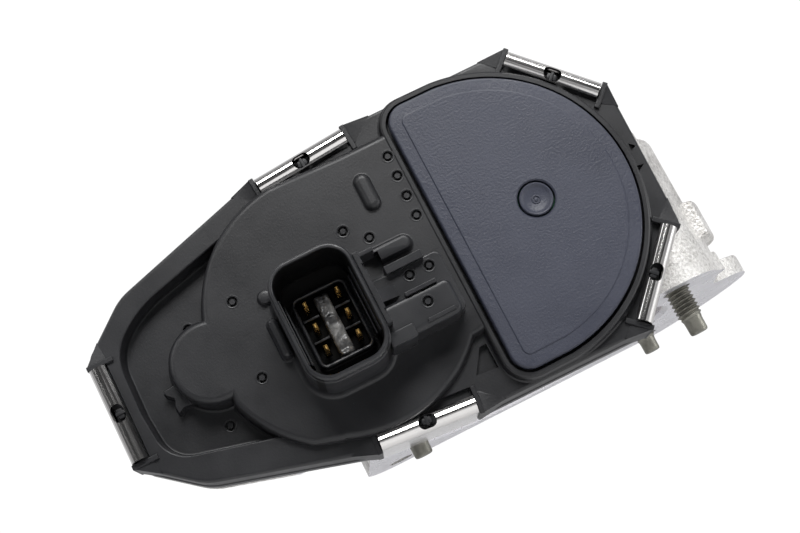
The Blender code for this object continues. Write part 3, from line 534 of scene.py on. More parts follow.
# ================================================================ clips' places
def clip_frame(name):
    slope = math.radians(5.0)
    corner = math.atan2(18.1, 16.9)
    (x, z), (nx, nz), along, out = {
        "cover_clip_left": ((-92.0, AXIS_Z - 0.6), (-1.0, 0.0), 0.15, 0.85),
        "cover_clip_upper_left": ((-32.4, AXIS_Z + 34.15), (-math.sin(slope), math.cos(slope)), -0.7, -0.1),
        "cover_clip_lower_left": ((-32.4, AXIS_Z - 34.15), (-math.sin(slope), -math.cos(slope)), -0.7, 0.15),
        "cover_clip_upper_right": ((28.95, AXIS_Z + 26.25), (math.sin(corner), math.cos(corner)), -0.1, -0.3),
        "cover_clip_lower_right": ((28.15, 1.45), (math.sin(corner), -math.cos(corner)), -0.9, -0.1),
    }[name]
    return (x - nz * along + nx * out, z + nx * along + nz * out), (nx, nz)


CLIPS = ["cover_clip_left", "cover_clip_upper_left", "cover_clip_lower_left", "cover_clip_upper_right", "cover_clip_lower_right"]
CLIP_LENGTH, SEAT = 22.0, 1.3


def on_edge(name, along, out):
    (x, z), (nx, nz) = clip_frame(name)
    return (x - nz * along + nx * out, z + nx * along + nz * out)


def edge_corners(name, along, out, r=0.3):
    pairs = ((along[0], out[0]), (along[1], out[0]), (along[1], out[1]), (along[0], out[1]))
    return [(*on_edge(name, a, o), r) for a, o in pairs]


# ================================================================ the gear cover
DOME_PROFILE = [(1.2, 55.5), (1.2, 57.0), (0.75, 57.35), (0.5, 58.1), (0.4, 62.0), (0.25, 63.1), (0.0, 63.8), (-0.35, 64.25), (-0.8, 64.45),
                (-1.3, 64.5)]


def beyond(start, towards, distance):
    """The point on the cover's outline about `distance` from start, on the side that `towards` points to."""
    points = filleted(COVER_CORNERS, -0.3, 6)
    best = None
    for i in range(len(points)):
        a, b = Vector(points[i]), Vector(points[(i + 1) % len(points)])
        for k in range(20):
            p = a.lerp(b, k / 20)
            d = p - Vector(start)
            if d.dot(Vector(towards)) > 0:
                miss = abs(d.length - distance)
                if best is None or miss < best[0]:
                    best = (miss, p)
    return best[1]


def cover():
    body = loft("gear_cover_shell", cover_at, [
        (-0.25, 51.0), (0.0, 51.25), (0.0, 54.4), (-0.25, 54.7), (-0.25, 60.9), (-0.33, 61.45), (-0.62, 61.85), (-1.05, 62.0)])
    carve(body, loft("panel", panel_at, [
        (0.45, 64.0), (0.45, 62.02), (0.25, 61.96), (0.08, 61.8), (0.0, 61.45), (-0.2, 58.2), (-0.35, 57.5), (-0.6, 57.1), (-0.95, 57.0)]))
    for i, name in enumerate(CLIPS):
        half = CLIP_LENGTH / 2
        carve(body, loft(f"ledge_{i}", corners_at(edge_corners(name, (-half - 0.1, half + 0.1), ((-4.1, -4.3, -5.8, -4.4, -5.8)[i], 4.0), 0.2)),
                         [(0.3, 64), (0.3, 62.1), (0.15, 61.95), (0.0, 61.6), (-0.1, 60.9)]))
    unite(
        body,
        loft("dome", dome_at, DOME_PROFILE),
        loft("dome_foot", dome_foot_at, DOME_PROFILE),
        loft("lobe", round_at(-68.2, 28.4, 9.0, 64), DOME_PROFILE),
        loft("surround", cap_at, [(2.6, 61.0), (2.6, 62.0), (2.25, 62.25), (2.1, 62.8), (2.0, 63.9), (1.85, 64.35), (1.5, 64.6)]),
    )
    # ears and gussets beside each clip, and the lowered ledge that the clip rests in
    for i, name in enumerate(CLIPS):
        half = CLIP_LENGTH / 2
        carve(body, plain(f"seat_{i}", corners_at(edge_corners(name, (-half - 0.1, half + 0.1), (-SEAT, 4.0), 0.2)), 48, 70))
        for side in (-1, 1):
            start, end = sorted((side * (half + 0.12), side * (half + 1.3)))
            tip = 0.03 if i == 0 else 0.35
            unite(body, plain(f"ear_{i}_{side}", corners_at(edge_corners(name, (start, end), (-6.0, tip), 0.2)), 52.0, 62.75, edge=0.25))
            near = side * (half + 1.0)
            ramp = [(*on_edge(name, a, o), h) for a, o, h in (
                (near, -4.6, 60.5), (near, tip - 0.1, 60.5), (near, -4.6, 62.2), (near, tip - 0.1, 62.55), (near, tip - 0.1, 51.6),
                (near, -1.0, 51.6), (near + side * 1.6, -4.2, 61.95))]
            foot = Vector(on_edge(name, side * half, 0.4))
            along = Vector(on_edge(name, side * (half + 1), 0.4)) - foot
            end = beyond(foot, along, 7.0)
            ramp += [(end.x, end.y, 60.5), (end.x, end.y, 61.95), (end.x, end.y, 51.6)]
            unite(body, hull(f"gusset_{i}_{side}", [(x, -h, z) for x, z, h in ramp]))
    unite(
        body,
        *[loft(f"nub_{i}", corners_at(edge_corners(name, (-1.25, 1.25), (-SEAT - 2.2, -SEAT - 0.5), 0.6)),
               [(0, 60.5), (0, 62.7), (-0.2, 62.95), (-0.4, 63.0)]) for i, name in enumerate(CLIPS)],
        *[plain(f"nub_bar_{i}", corners_at(edge_corners(name, (-0.35, 0.35), (-SEAT - 2.5, -SEAT - 0.3), 0.1)), 60.5, 63.3, edge=0.12)
          for i, name in enumerate(CLIPS)],
        # raised pads on the dome, beside the connector, and the tab on the panel
        loft("pill_1", box_at(-21.9, 46.5, 3.4, 8.6, 1.65, 8), [(0.5, 64.0), (0.5, 64.5), (0.2, 64.65), (0.05, 65.0), (-0.2, 65.5), (-0.7, 65.85),
                                                              (-1.3, 65.95)]),
        loft("pill_2", box_at(-23.3, 32.6, 10.2, 3.9, 1.9, 8), [(0.5, 64.0), (0.5, 64.5), (0.2, 64.65), (0.05, 65.2), (-0.15, 65.9), (-0.55, 66.5),
                                                               (-1.1, 66.75)]),
        loft("bump_1", round_at(-51.9, 35.4, 1.7, 24), [(0.3, 64), (0.1, 64.7), (0, 65.2), (-0.35, 65.8), (-1.0, 66.1)]),
        loft("bump_2", box_at(-52.9, 25.6, 2.6, 9.6, 1.2, 6), [(0.5, 64), (0.4, 64.5), (0.1, 64.9), (-0.1, 67.0), (-0.5, 67.9), (-1.0, 68.2)]),
    )
    tab = [(-80.5, 27.8, 0.3), (-80.2, 26.7, 0.4), (-78.8, 25.4, 0.9), (-79.5, 23.6, 0.4), (-79.3, 21.9, 0.3), (-77.8, 22.8, 0.3),
           (-75.0, 22.6, 0.1), (-75.0, 29.2, 0.1), (-77.2, 28.3, 0.5)]
    unite(body, loft("tab", corners_at(tab, 4), [(0.45, 56.6), (0.4, 57.1), (0.1, 57.5), (0.0, 59.7), (-0.12, 59.95), (-0.25, 60.0)]))
    # the connector's shroud
    shroud = box_at(-41.7, 23.35, 19.4, 27.4, 6.0, 10)
    unite(body, loft("shroud", shroud, [
        (1.5, 63.0), (1.5, 64.45), (0.9, 64.7), (0.4, 65.3), (0.1, 66.5), (0.0, 72.0), (-0.1, 76.5), (-0.12, 78.6), (-0.3, 78.8),
        (-0.32, 81.0), (-0.42, 81.5), (-0.65, 81.85), (-0.95, 82.0)]))
    # the latch beside it
    unite(
        body,
        plain("latch_base", corners_at([(-33, 13.0, 1.0), (-14.6, 13.0, 1.6), (-14.6, 27.2, 1.6), (-33, 27.2, 1.0)]), 63.5, 70.0, edge=0.4),
        plain("latch_block", corners_at([(-33, 12.3, 0.6), (-15.9, 12.3, 1.6), (-15.9, 20.4, 1.6), (-33, 20.4, 0.6)]), 63.5, 74.0, edge=1.3),
        plain("latch_lip", corners_at([(-33, 11.6, 0.4), (-27.0, 11.6, 0.4), (-27.0, 14.6, 0.4), (-33, 14.6, 0.4)]), 63.5, 75.2, edge=0.3),
        plain("latch_rail", box_at(-22.6, 27.6, 8.7, 1.8, 0.15), 63.5, 72.0, edge=0.15),
        plain("latch_ridge", box_at(-22.1, 20.6, 7.2, 0.9, 0.15), 67.0, 74.6, edge=0.15),
        plain("latch_ridge_2", box_at(-20.6, 13.6, 6.4, 0.8, 0.15), 67.0, 74.5, edge=0.12),
        plain("shroud_plate", box_at(-31.4, 24.3, 1.3, 16.6, 0.2), 63.5, 78.6, edge=0.2),
        plain("rail_stub", box_at(-29.3, 32.0, 3.6, 0.9, 0.15), 66.0, 77.0, edge=0.15),
        hull("latch_ramp", [(-30.8, -69.0, 20.9), (-30.8, -69.0, 24.6), (-30.8, -75.0, 21.2), (-30.8, -75.0, 24.4), (-25.4, -69.0, 21.9),
                            (-25.4, -69.0, 24.2)]),
    )
    carve(
        body,
        # the hollows behind the dome, as in the frame
        loft("inside", lambda out: [(x, z) for x, z in filleted(COVER_CORNERS, -3.6)], [(0, 50), (0, 54.5)]),
        loft("inside_gears", corners_at([(32.8, 44.0, 1), (18.8, 59.4, 1), (-19.7, 59.4, 1), (-45.4, 57.0, 1), (-53, 54.0, 1), (-53, 2.0, 1),
                                        (-45.4, -1.0, 1), (-19.7, -3.4, 1), (18.8, -3.4, 1), (32.8, 12.0, 1)]), [(0, 50), (0, 59.5)]),
        loft("inside_dome", round_at(-37.8, 27.4, 25.4, 64), [(0, 58), (0, 61.9)]),
        loft("cap_pocket", cap_at, [(0.7, 66.0), (0.7, 64.62), (0.55, 64.3), (0.55, 61.8)]),
        loft("socket", box_at(-41.75, 23.35, 16.6, 24.5, 4.6, 10), [(0.35, 83), (0.35, 82.02), (0.15, 81.85), (0.0, 81.4), (-0.1, 74), (-0.25, 67.4),
                                                                (-0.6, 67.0)]),
        loft("insert_slot", box_at(-41.6, 22.9, 11.0, 14.4, 0.3), [(0, 68), (0, 59)]),
    )
    # notches in the shroud's side plate, a pit beside the latch and small pockets in the rim
    carve(
        body,
        solid_box("notch_1", (-31.15, -90, 28.2), (-29.6, -76.4, 29.8)),
        solid_box("notch_2", (-31.15, -90, 17.8), (-29.6, -76.4, 19.4)),
        solid_box("latch_pit", (-30.6, -70.3, 28.75), (-26.0, -62.7, 33.3)),
        hull("pocket_1", [(x, y, z) for x, z in ((34.9, 31.0), (36.0, 29.9), (34.4, 28.8)) for y in (-63, -61.0)]),
        hull("pocket_2", [(x, y, z) for x, z in ((33.8, 25.6), (35.7, 25.4), (33.4, 23.9)) for y in (-63, -60.6)]),
        hull("pocket_3", [(x, y, z) for x, z in ((-19.0, 0.3), (-13.9, -0.3), (-14.0, 5.5), (-15.6, 5.4)) for y in (-63.8, -60.4)]),
    )
    marks = [(-14.2, 51.8), (-14.3, 46.9), (-14.5, 42.0), (-14.6, 37.1), (-30.5, 41.1), (-26.0, 37.2), (-58.6, 37.9), (-60.0, 20.2)]
    tools = [mark_tool(x, z, 64.5) for x, z in marks]
    tools += [mark_tool(x, z, 57.0) for x, z in ((-70.0, 38.4), (-70.8, 15.2))]
    tools += [mark_tool(x, z, 70.0) for x, z in ((-22.5, 24.8), (-17.9, 24.8))] + [mark_tool(-22.0, 17.3, 74.0)]
    carve(body, joined("marks", tools))
    return body


def mark_tool(x, z, h):
    """The groove that an ejector pin leaves: a ring round a small flat island."""
    return turned("mark", [(0.6, h + 0.4), (0.62, h - 0.2), (0.68, h - 1.1), (0.9, h - 1.15), (1.08, h - 1.1), (1.14, h - 0.02), (1.16, h + 0.4)],
                  (x, 0, z), "Y", 24, ring=True)


def mark_rims():
    """The thin raised lip round each ejector mark, in the lighter connector plastic as a painted highlight."""
    lips = []
    for x, z, h in ([(x, z, 64.5) for x, z in ((-14.2, 51.8), (-14.3, 46.9), (-14.5, 42.0), (-14.6, 37.1), (-30.5, 41.1), (-26.0, 37.2),
                                               (-58.6, 37.9), (-60.0, 20.2))] + [(-70.0, 38.4, 57.0), (-70.8, 15.2, 57.0)]
                    + [(-22.5, 24.8, 70.0), (-17.9, 24.8, 70.0), (-22.0, 17.3, 74.0)]):
        lips.append(turned("lip", [(1.2, h - 0.2), (1.2, h + 0.03), (1.34, h + 0.09), (1.5, h + 0.06), (1.58, h - 0.2)], (x, 0, z), "Y", 28,
                           ring=True))
    return joined("ejector_mark_lips", lips)


shell = cover()
place(shade(shell, 30), BLACK, ["gear_cover"])
shell.data.materials.append(CONNECTOR_AND_PAINTED_LIGHT)
shell.data.materials.append(SOCKET_PAINTED_SHADE)
# Cover faces above h 66.7 on the connector side get the lighter connector plastic, painted light on the raised shroud
# and latch.
for polygon in shell.data.polygons:
    if polygon.center.y < -0.0667 and polygon.center.x < -0.0135:
        polygon.material_index = 1
        # Faces inside the socket get the near-black socket plastic, painted shade for the dark inside of the socket.
        if abs(polygon.center.x + 0.04175) < 0.0085 and abs(polygon.center.z - 0.02335) < 0.0124 and polygon.center.y > -0.0808:
            polygon.material_index = 2
# The lips take the lighter connector plastic as a painted highlight.
place(shade(mark_rims(), 50), CONNECTOR_AND_PAINTED_LIGHT, [])

# ================================================================ the sensor cap and its plug
cap = loft("sensor_cap_moulding", cap_at, [
    (-0.3, 64.0), (0.0, 64.15), (0.0, 65.35), (-0.12, 65.7), (-0.35, 65.92), (-0.7, 66.0), (-2.8, 66.0), (-2.95, 66.06), (-3.05, 66.22), (-3.3, 66.3)])
carve(cap, loft("plug_hole", round_at(10.0, 28.2, 4.15, 48), [(0.35, 67.5), (0.35, 66.32), (0.0, 66.0), (0, 63)]))
place(shade(cap, 30), CAP, ["sensor_cap"])
plug = turned("cap_plug_moulding", [
    (0, 64.3), (3.7, 64.3), (3.75, 65.9), (3.65, 66.2), (3.45, 66.32), (3.2, 66.25), (3.0, 66.0), (2.4, 65.75), (1.5, 65.58), (1.05, 65.5),
    (0.98, 65.66), (0.86, 65.7), (0.72, 65.62), (0.66, 65.42), (0.42, 65.42), (0.36, 65.6), (0.0, 65.68)], (10.0, 0, 28.2), "Y", 64)
place(shade(plug, 40, False), CAP, ["cap_plug"])


# ================================================================ cover clips
def clip(name, index):
    """Built in the clip's own axes: X outwards, Y inwards, Z along it, so that its streaks run along it."""
    t, r = 0.8, 2.02
    outer, front, back = 0.3 + t, -62.3, -46.4
    skin, inner = [], []
    for k in range(41):
        a = math.radians(-150 * k / 40)
        ripple = 0.012 * math.sin(a * 9.0 + index) + 0.010 * math.sin(a * 17.0 + 2 * index)
        skin.append((outer - r + (r + ripple) * math.cos(a), front + 0.1 + (r + ripple) * math.sin(a)))
        if k % 2 == 0:
            inner.append((outer - r + (r - t) * math.cos(a), front + 0.1 + (r - t) * math.sin(a)))
    section = [(-1.8, back + t), (outer - 0.9, back + t), (outer - 0.26, back + t - 0.26), (outer, back + t - 0.9)]
    section += skin + inner[::-1] + [(outer - t, back), (-1.8, back)]
    section = [(u - SEAT, y) for u, y in section]
    verts, faces = [], []
    half = CLIP_LENGTH / 2
    for z in (-half, half):
        verts += [(u, y, z) for u, y in section]
    n = len(section)
    faces = [(i, (i + 1) % n, n + (i + 1) % n, n + i) for i in range(n)] + [tuple(range(n))[::-1], tuple(range(n, 2 * n))]
    obj = new_object(name.replace("cover_clip", "spring_clip"), verts, faces)
    window = filleted([(-3.75, -2.0, 1.3), (-0.85, -2.0, 1.3), (-0.85, 2.0, 1.3), (-3.75, 2.0, 1.3)], 0, 8)
    verts = [(x, -66.0, z) for x, z in window] + [(x, -62.1, z) for x, z in window]
    n = len(window)
    cutter = new_object("window", verts, [(i, (i + 1) % n, n + (i + 1) % n, n + i) for i in range(n)]
                        + [tuple(range(n))[::-1], tuple(range(n, 2 * n))])
    carve(obj, cutter)
    (x, z), (nx, nz) = clip_frame(name)
    out, deep = Vector((nx, 0, nz)), Vector((0, 1, 0))
    matrix = Matrix.Identity(4)
    for column, direction in enumerate((out, deep, out.cross(deep))):
        matrix.col[column][:3] = direction
    matrix.translation = Vector((x, 0, z)) * MM
    obj.matrix_world = matrix
    place(shade(obj, 35), SPRING_STEEL, [name])
    return obj


SPRING_STEEL = bright("spring_steel")
for i, name in enumerate(CLIPS):
    clip(name, i)

# ================================================================ inside the connector
INSERT = (-41.6, 22.9)
PINS = [(INSERT[0] + dx, INSERT[1] + dz) for dx in (-3.75, 3.75) for dz in (5.05, 0.0, -5.05)]
island = loft("connector_island", box_at(*INSERT, 12.8, 16.6, 1.8, 6), [
    (0.3, 67.1), (0.3, 68.0), (0.0, 68.2), (0.0, 69.7), (-0.12, 70.05), (-0.4, 70.2), (-0.68, 70.1), (-0.88, 69.8), (-0.92, 67.7),
    (-0.92, 67.4)])
unite(island, loft("plinth", box_at(*INSERT, 10.4, 13.8, 0.3, 3), [(0, 62.4), (0, 67.55)]))
unite(island, *[plain(f"rib_{i}", box_at(INSERT[0] + dx, INSERT[1] + dz, 3.6, 0.5, 0.1, 2), 67.0, 70.0, edge=0.12)
                for i, (dx, dz) in enumerate((dx, dz) for dx in (-3.6, 3.6) for dz in (2.75, -2.35))])
carve(island, *[plain(f"pin_{i}", box_at(x + 0.1, z + 0.3, 1.4, 2.1, 0.1, 2), 60, 71) for i, (x, z) in enumerate(PINS)])
place(shade(island, 35), CONNECTOR_AND_PAINTED_LIGHT, ["connector_insert"])
island.data.materials.append(INSERT_PAINTED_SHADE)
# The insert's faces below its rim, in the cells and round the plinth, get the near-black insert plastic as painted
# shade.
for polygon in island.data.polygons:
    if polygon.center.y > -0.0699 and abs(polygon.center.x * 1000 - INSERT[0]) < 6.2 and abs(polygon.center.z * 1000 - INSERT[1]) < 8.0:
        polygon.material_index = 1
seal_lines = joined("socket_ribs", [plain(f"r{i}", box_at(-41.75 + dx, 23.3, 0.4, h, 0.1, 2), 66.6, top, edge=0.12)
                                    for i, (dx, h, top) in enumerate(((-8.15, 15.0, 77.0), (-7.5, 14.0, 72.0), (8.15, 15.0, 77.0), (7.5, 14.0, 72.0)))])
place(shade(seal_lines, 35), CONNECTOR_AND_PAINTED_LIGHT, [])

key = loft("connector_gel_strip", box_at(INSERT[0] + 0.15, INSERT[1] - 0.45, 3.3, 14.3, 0.5, 5), [(0, 67.6), (0, 69.7), (-0.2, 70.2), (-0.5, 70.5)])
key.data.materials.clear()
grid = key.modifiers.new("fine", "REMESH")
grid.mode = "VOXEL"
grid.voxel_size = 0.00022
baked(key)
for v in key.data.vertices:
    if v.co.y < -0.0692:
        wave = noise.noise(v.co * 620) * 0.0006 + noise.noise(v.co * 1500) * 0.00012
        v.co.y += wave + 0.0001
place(shade(key, 60, False), GEL, ["connector_key"])
for i, (x, z) in enumerate(PINS):
    pin = loft(f"terminal_blade_{i + 1}", box_at(x + 0.1, z + 0.3, 0.9, 1.5, 0.06, 2), [(0, 61.2), (0, 73.0), (-0.12, 73.5), (-0.3, 73.8), (-0.34, 73.9)])
    place(shade(pin, 35), GOLD, [f"terminal_{i + 1}"])


# ================================================================ bolts
BOLTS = {
    "mounting_bolt_1": (35.2, -34.0, -11.2),
    "mounting_bolt_2": (38.2, 34.0, -4.9),
    "mounting_bolt_3": (-35.2, -34.0, -7.6),
    "mounting_bolt_4": (-38.2, 34.0, 0.2),
}


def bolt(name, at, steps=40, pitch=1.0, rows=10):
    """A flanged bolt with a rolled thread and a plain dog point."""
    x, y, tip = at
    top = tip + 49.0
    low, high = tip + 3.6, tip + 21.0
    profile = [(0.0, tip), (1.7, tip), (2.05, tip + 0.12), (2.22, tip + 0.5), (2.26, tip + 3.0), (2.3, tip + 3.45)]
    verts, faces = [], []
    rings = []
    for r, h in profile:
        rings.append([(r, h)] * steps)
    count = int((high - low) / pitch * rows)
    for k in range(count + 1):
        h = low + (high - low) * k / count
        ring = []
        for i in range(steps):
            phase = ((h - low) / pitch - i / steps) % 1.0
            crest = abs(phase - 0.5) * 2
            depth = min(1.0, max(0.0, crest * 1.35 - 0.18))
            fade = min(1.0, (h - low) / 1.4, (high - h) / 1.4 + 0.02)
            r = 2.42 + (3.0 - 2.42) * depth
            floor = 2.35 if (h - low) < (high - h) else 2.72
            ring.append((floor + (r - floor) * max(0.0, fade), h))
        rings.append(ring)
    for r, h in ((2.72, high + 0.4), (2.72, top - 1.0), (3.0, top - 0.6), (3.0, top + 0.3), (6.2, top + 0.3), (6.4, top + 0.5), (6.4, top + 1.2),
                 (6.1, top + 1.5), (5.2, top + 1.9)):
        rings.append([(r, h)] * steps)
    for share, h in ((1.0, top + 2.0), (1.0, top + 5.2), (0.93, top + 5.8), (0.86, top + 6.0)):
        ring = []
        for i in range(steps):
            a = 2 * math.pi * i / steps
            wedge = (a + math.pi / 6) % (math.pi / 3) - math.pi / 6
            ring.append((min(4.9, 4.35 / math.cos(wedge)) * share, h))
        rings.append(ring)
    for ring in rings:
        for i, (r, h) in enumerate(ring):
            a = 2 * math.pi * i / steps
            verts.append((x + r * math.cos(a), y + r * math.sin(a), h))
    for k in range(len(rings) - 1):
        for i in range(steps):
            j = (i + 1) % steps
            faces.append((k * steps + i, k * steps + j, (k + 1) * steps + j, (k + 1) * steps + i))
    last = (len(rings) - 1) * steps
    faces.append(tuple(last + i for i in range(steps)))
    obj = new_object(name.replace("mounting_bolt", "flange_bolt"), verts, faces)
    place(shade(obj, 38, False), PHOSPHATE, [name])


for name, at in BOLTS.items():
    bolt(name, at)


# ================================================================ the casting
FLANGE_R, OUTER_R, BOSS_R, HOUSING_R = 64.0, 54.5, 9.5, 19.8
MOTOR_X, IDLER_X = -67.0, -37.5


def flange_outline():
    a, b, c, d = (BOLTS[f"mounting_bolt_{k}"] for k in (1, 2, 3, 4))
    return (
        arc(c[0], c[1], 10.0, 190, 270, 12)
        + arc(a[0], a[1], 10.0, 270, 345, 12)
        + arc(46.0, -28.0, 3.6, -60, 50, 10)
        + [(50.2, -11.0), (51.2, -9.8), (52.6, -9.0), (54.2, -8.6), (55.8, -8.1), (57.4, -7.3), (58.8, -6.2), (60.0, -4.8), (60.9, -3.2), (61.6, -1.2),
           (62.4, 1.4)]
        + arc(0, 0, FLANGE_R - 0.6, 6.0, 45, 26)
        + arc(b[0], b[1], 12.0, 70, 90, 3)
        + arc(d[0], d[1], 10.0, 90, 175, 12)
    )


def fixed(points):
    return lambda out: points


def casting():
    a, b = BOLTS["mounting_bolt_1"], BOLTS["mounting_bolt_2"]
    raw = [
        loft("flange", fixed(flange_outline()), [(0, -1.5), (0, 5.0)], "Z"),
        turned("barrel", [(0, 63.5), (40.2, 63.5), (41.0, 60.8), (41.9, 59), (41.9, 57), (41.0, 55.5), (41.0, 40), (43.5, 37.5), (43.5, 9), (45.5, 4.5),
                          (45.5, 2), (0, 2)], steps=96),
        loft("wall", fixed(arc(a[0], a[1], BOSS_R, -110, -44, 12) + arc(0, 0, OUTER_R, -42, 40, 48) + arc(b[0], b[1], BOSS_R, 40, 110, 12)
                           + [(20, 30), (20, -30)]), [(0, 3), (0, 38.5)], "Z"),
        loft("pad", fixed(arc(0, 0, 57.2, -26, -4, 16) + arc(0, 0, 50, -4, -26, 12)), [(0, 9.8), (0, 19.6)], "Z"),
        loft("case", lambda out: filleted(COVER_CORNERS, -3.6), [(0, 42.6), (0, 49)]),
        loft("case_rim", lambda out: filleted(COVER_CORNERS, 0), [(0, 46.7), (0, 52.0)]),
        turned("motor_housing", [(0, -14), (17.8, -14), (19.8, -12), (19.8, 46), (0, 46)], (MOTOR_X, 0, AXIS_Z), "Y", 64),
        solid_box("web", (-53.1, -45.2, AXIS_Z - 9.1), (-37.1, 8.2, AXIS_Z + 9.1)),
        turned("far_boss", [(0, -53.9), (11.6, -53.9), (12.5, -53), (12.9, -38), (0, -38)], (0, 0, AXIS_Z), "Y", 48),
        solid_box("stop_post", (13.6, -57.6, 2.2), (19.4, -45, 8.6)),
    ]
    for k in (1, 2, 3, 4):
        x, y, _ = BOLTS[f"mounting_bolt_{k}"]
        raw.append(turned(f"boss_{k}", [(0, 38.5), (9.3, 38.5), (9.4, 12), (9.9, 7), (10.0, 2), (0, 2)], (x, y, 0), steps=40))
    # thin ribs that stiffen the motor housing and the barrel
    for h in (-20.0, -2.0):
        raw.append(loft(f"rib_{h}", round_at(MOTOR_X, AXIS_Z, 20.4, 64), [(0, -h - 0.9), (0, -h + 0.9)]))
    for angle in (100, 135, 220, 250):
        u = Vector((math.cos(math.radians(angle)), math.sin(math.radians(angle))))
        s = Vector((-u.y, u.x)) * 1.3
        corners = [(*(u * 40 + s), 0.2), (*(u * 40 - s), 0.2), (*(u * 49.5 - s), 0.2), (*(u * 49.5 + s), 0.2)]
        inner, outer = [Vector(c[:2]) for c in corners[:2]], [Vector(c[:2]) for c in corners[2:]]
        raw.append(hull(f"gusset_{angle}", [(*p, 3) for p in inner + outer] + [(*p, 22) for p in inner] + [(*p, 5.5) for p in outer]))
    body = joined("cast_body", raw)
    for mode, size in (("VOXEL", 0.00062),):
        remesh = body.modifiers.new("remesh", "REMESH")
        remesh.mode = mode
        remesh.voxel_size = size
        remesh.use_smooth_shade = True
    baked(body)
    soft = body.modifiers.new("soft", "SMOOTH")
    soft.factor = 0.5
    soft.iterations = 5
    baked(body)
    # what is cut after casting
    lobe = loft("pocket", fixed(arc(0, 0, 51.4, -27, 26, 40) + arc(0, 0, 46.8, 25.5, -26.5, 40)), [(0, 12.4), (0, 40)], "Z")
    carve(
        body,
        solid_box("below", (-120, -120, -20), (120, 120, 0)),
        solid_box("above", (-60, -60, 62), (60, 60, 80)),
        lobe,
    )
    carve(
        body,
        turned("bore", [(0, 63), (38.7, 63), (38.1, 61), (37.5, 58), (37.5, 1.0), (39.1, -0.6), (39.1, -2), (0, -2)], steps=128),
    )
    top = [turned(f"face_{k}", [(0, 60), (10.2, 60), (10.2, 37.5), (0, 37.5)], (x, y, 0), steps=40)
           for k, (x, y, _) in enumerate(BOLTS.values())]
    holes = [turned(f"hole_{k}", [(0, 60), (3.5, 60), (3.5, -2), (0, -2)], (x, y, 0), steps=32) for k, (x, y, _) in enumerate(BOLTS.values())]
    carve(body, *holes)
    for tool in top:
        bpy.data.objects.remove(tool, do_unlink=True)
    carve(body, loft("rim_face", lambda out: filleted(COVER_CORNERS, 3), [(0, 50.7), (0, 53.0)]))
    carve(
        body,
        loft("gear_space", lambda out: filleted(COVER_CORNERS, -5.0), [(0, 46.0), (0, 53)]),
        turned("motor_space", [(0, -11.5), (16.9, -11.5), (16.9, 60), (0, 60)], (MOTOR_X, 0, AXIS_Z), "Y", 64),
        turned("shaft_bore", [(0, -60), (8.6, -60), (8.6, -39.4), (5.4, -39.4), (5.4, 41.3), (9.2, 41.3), (9.2, 60), (0, 60)], (0, 0, AXIS_Z), "Y", 48),
        turned("idler_pin_hole", [(0, 44.7), (2.8, 44.7), (2.8, 48), (0, 48)], (IDLER_X, 0, AXIS_Z), "Y", 24),
        *[loft(f"rim_seat_{i}", corners_at(edge_corners(n, (-CLIP_LENGTH / 2 - 0.3, CLIP_LENGTH / 2 + 0.3), (-SEAT, 4), 0.2)),
               [(0, 45.3), (0, 53)]) for i, n in enumerate(CLIPS)],
    )
    unite(body, *[turned(f"post_{k}", [(0, 35.6), (3.2, 35.6), (3.2, 45.4), (0, 45.4)], (MOTOR_X + 5.2, 0, z), "Y", 24)
                  for k, z in enumerate((47.5, 8.5))])
    carve(body, *[turned(f"post_hole_{k}", [(0, 37), (1.9, 37), (1.9, 50), (0, 50)], (MOTOR_X + 5.2, 0, z), "Y", 16)
                  for k, z in enumerate((47.5, 8.5))])
    carve(body, turned("plate_recess", [(0, 44.5), (15.95, 44.5), (15.95, 47), (0, 47)], (MOTOR_X, 0, AXIS_Z), "Y", 48),
          turned("stop_hole", [(0, 8), (1.6, 8), (1.6, 24), (0, 24)], (0, -55.2, AXIS_Z - 22.6), "X", 16))
    return body


body = casting()
place(shade(body, 30, False), CAST, ["throttle_body_casting"])
body.data.materials.append(CUT_FACE)
for polygon in body.data.polygons:
    c, n = polygon.center, polygon.normal
    radius = math.hypot(c.x, c.y)
    flat_bottom = c.z < 0.0002 and n.z < -0.9
    flat_top = c.z > 0.0618 and n.z > 0.9
    bore = radius < 0.0386 and 0.0 <= c.z <= 0.062 and abs(c.x * n.x + c.y * n.y) > 0.5 * radius
    rim = c.y < -0.0506 and n.y < -0.9
    if flat_bottom or flat_top or bore or rim:
        polygon.material_index = 1

# ================================================================ the frame's own pieces
CARRIED = {
    "sensor_board": BOARD, "cover_gasket": RUBBER, "throttle_shaft": STEEL, "throttle_plate": BRASS, "plate_screw_1": DARK_STEEL,
    "plate_screw_2": DARK_STEEL, "sector_gear": NYLON, "sensor_rotor": STEEL, "shaft_nut": STEEL, "return_spring": STEEL,
    "spring_sleeve": NYLON, "idler_gear": NYLON, "idler_pin": STEEL, "idler_washer": STEEL, "drive_pinion": BRASS, "motor_rotor": COPPER,
    "motor_can": STEEL, "motor_magnet_1": MAGNET, "motor_magnet_2": MAGNET, "motor_end_plate": DARK_STEEL, "motor_screw_1": STEEL,
    "motor_screw_2": STEEL, "motor_terminal_1": BRASS, "motor_terminal_2": BRASS, "motor_wave_washer": STEEL, "bearing_gear_side": STEEL,
    "bearing_far_side": STEEL, "shaft_seal": RUBBER, "bearing_end_plug": STEEL, "stop_screw": STEEL,
}
for name, material in CARRIED.items():
    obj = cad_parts[name]
    for slot in obj.material_slots:
        slot.material = material
    if not obj.material_slots:
        obj.data.materials.append(material)

# ================================================================ stage, light, camera
bm = bmesh.new()
bmesh.ops.create_circle(bm, cap_ends=True, radius=2.4, segments=96)
floor_mesh = bpy.data.meshes.new("floor")
bm.to_mesh(floor_mesh)
bm.free()
floor = bpy.data.objects.new("floor", floor_mesh)
bpy.context.scene.collection.objects.link(floor)
floor.location = (0, 0, -0.32)
paper = Nodes("floor_paper")
paper.set(Base_Color=(0.86, 0.86, 0.86, 1), Roughness=0.9)
floor.data.materials.append(paper.material)

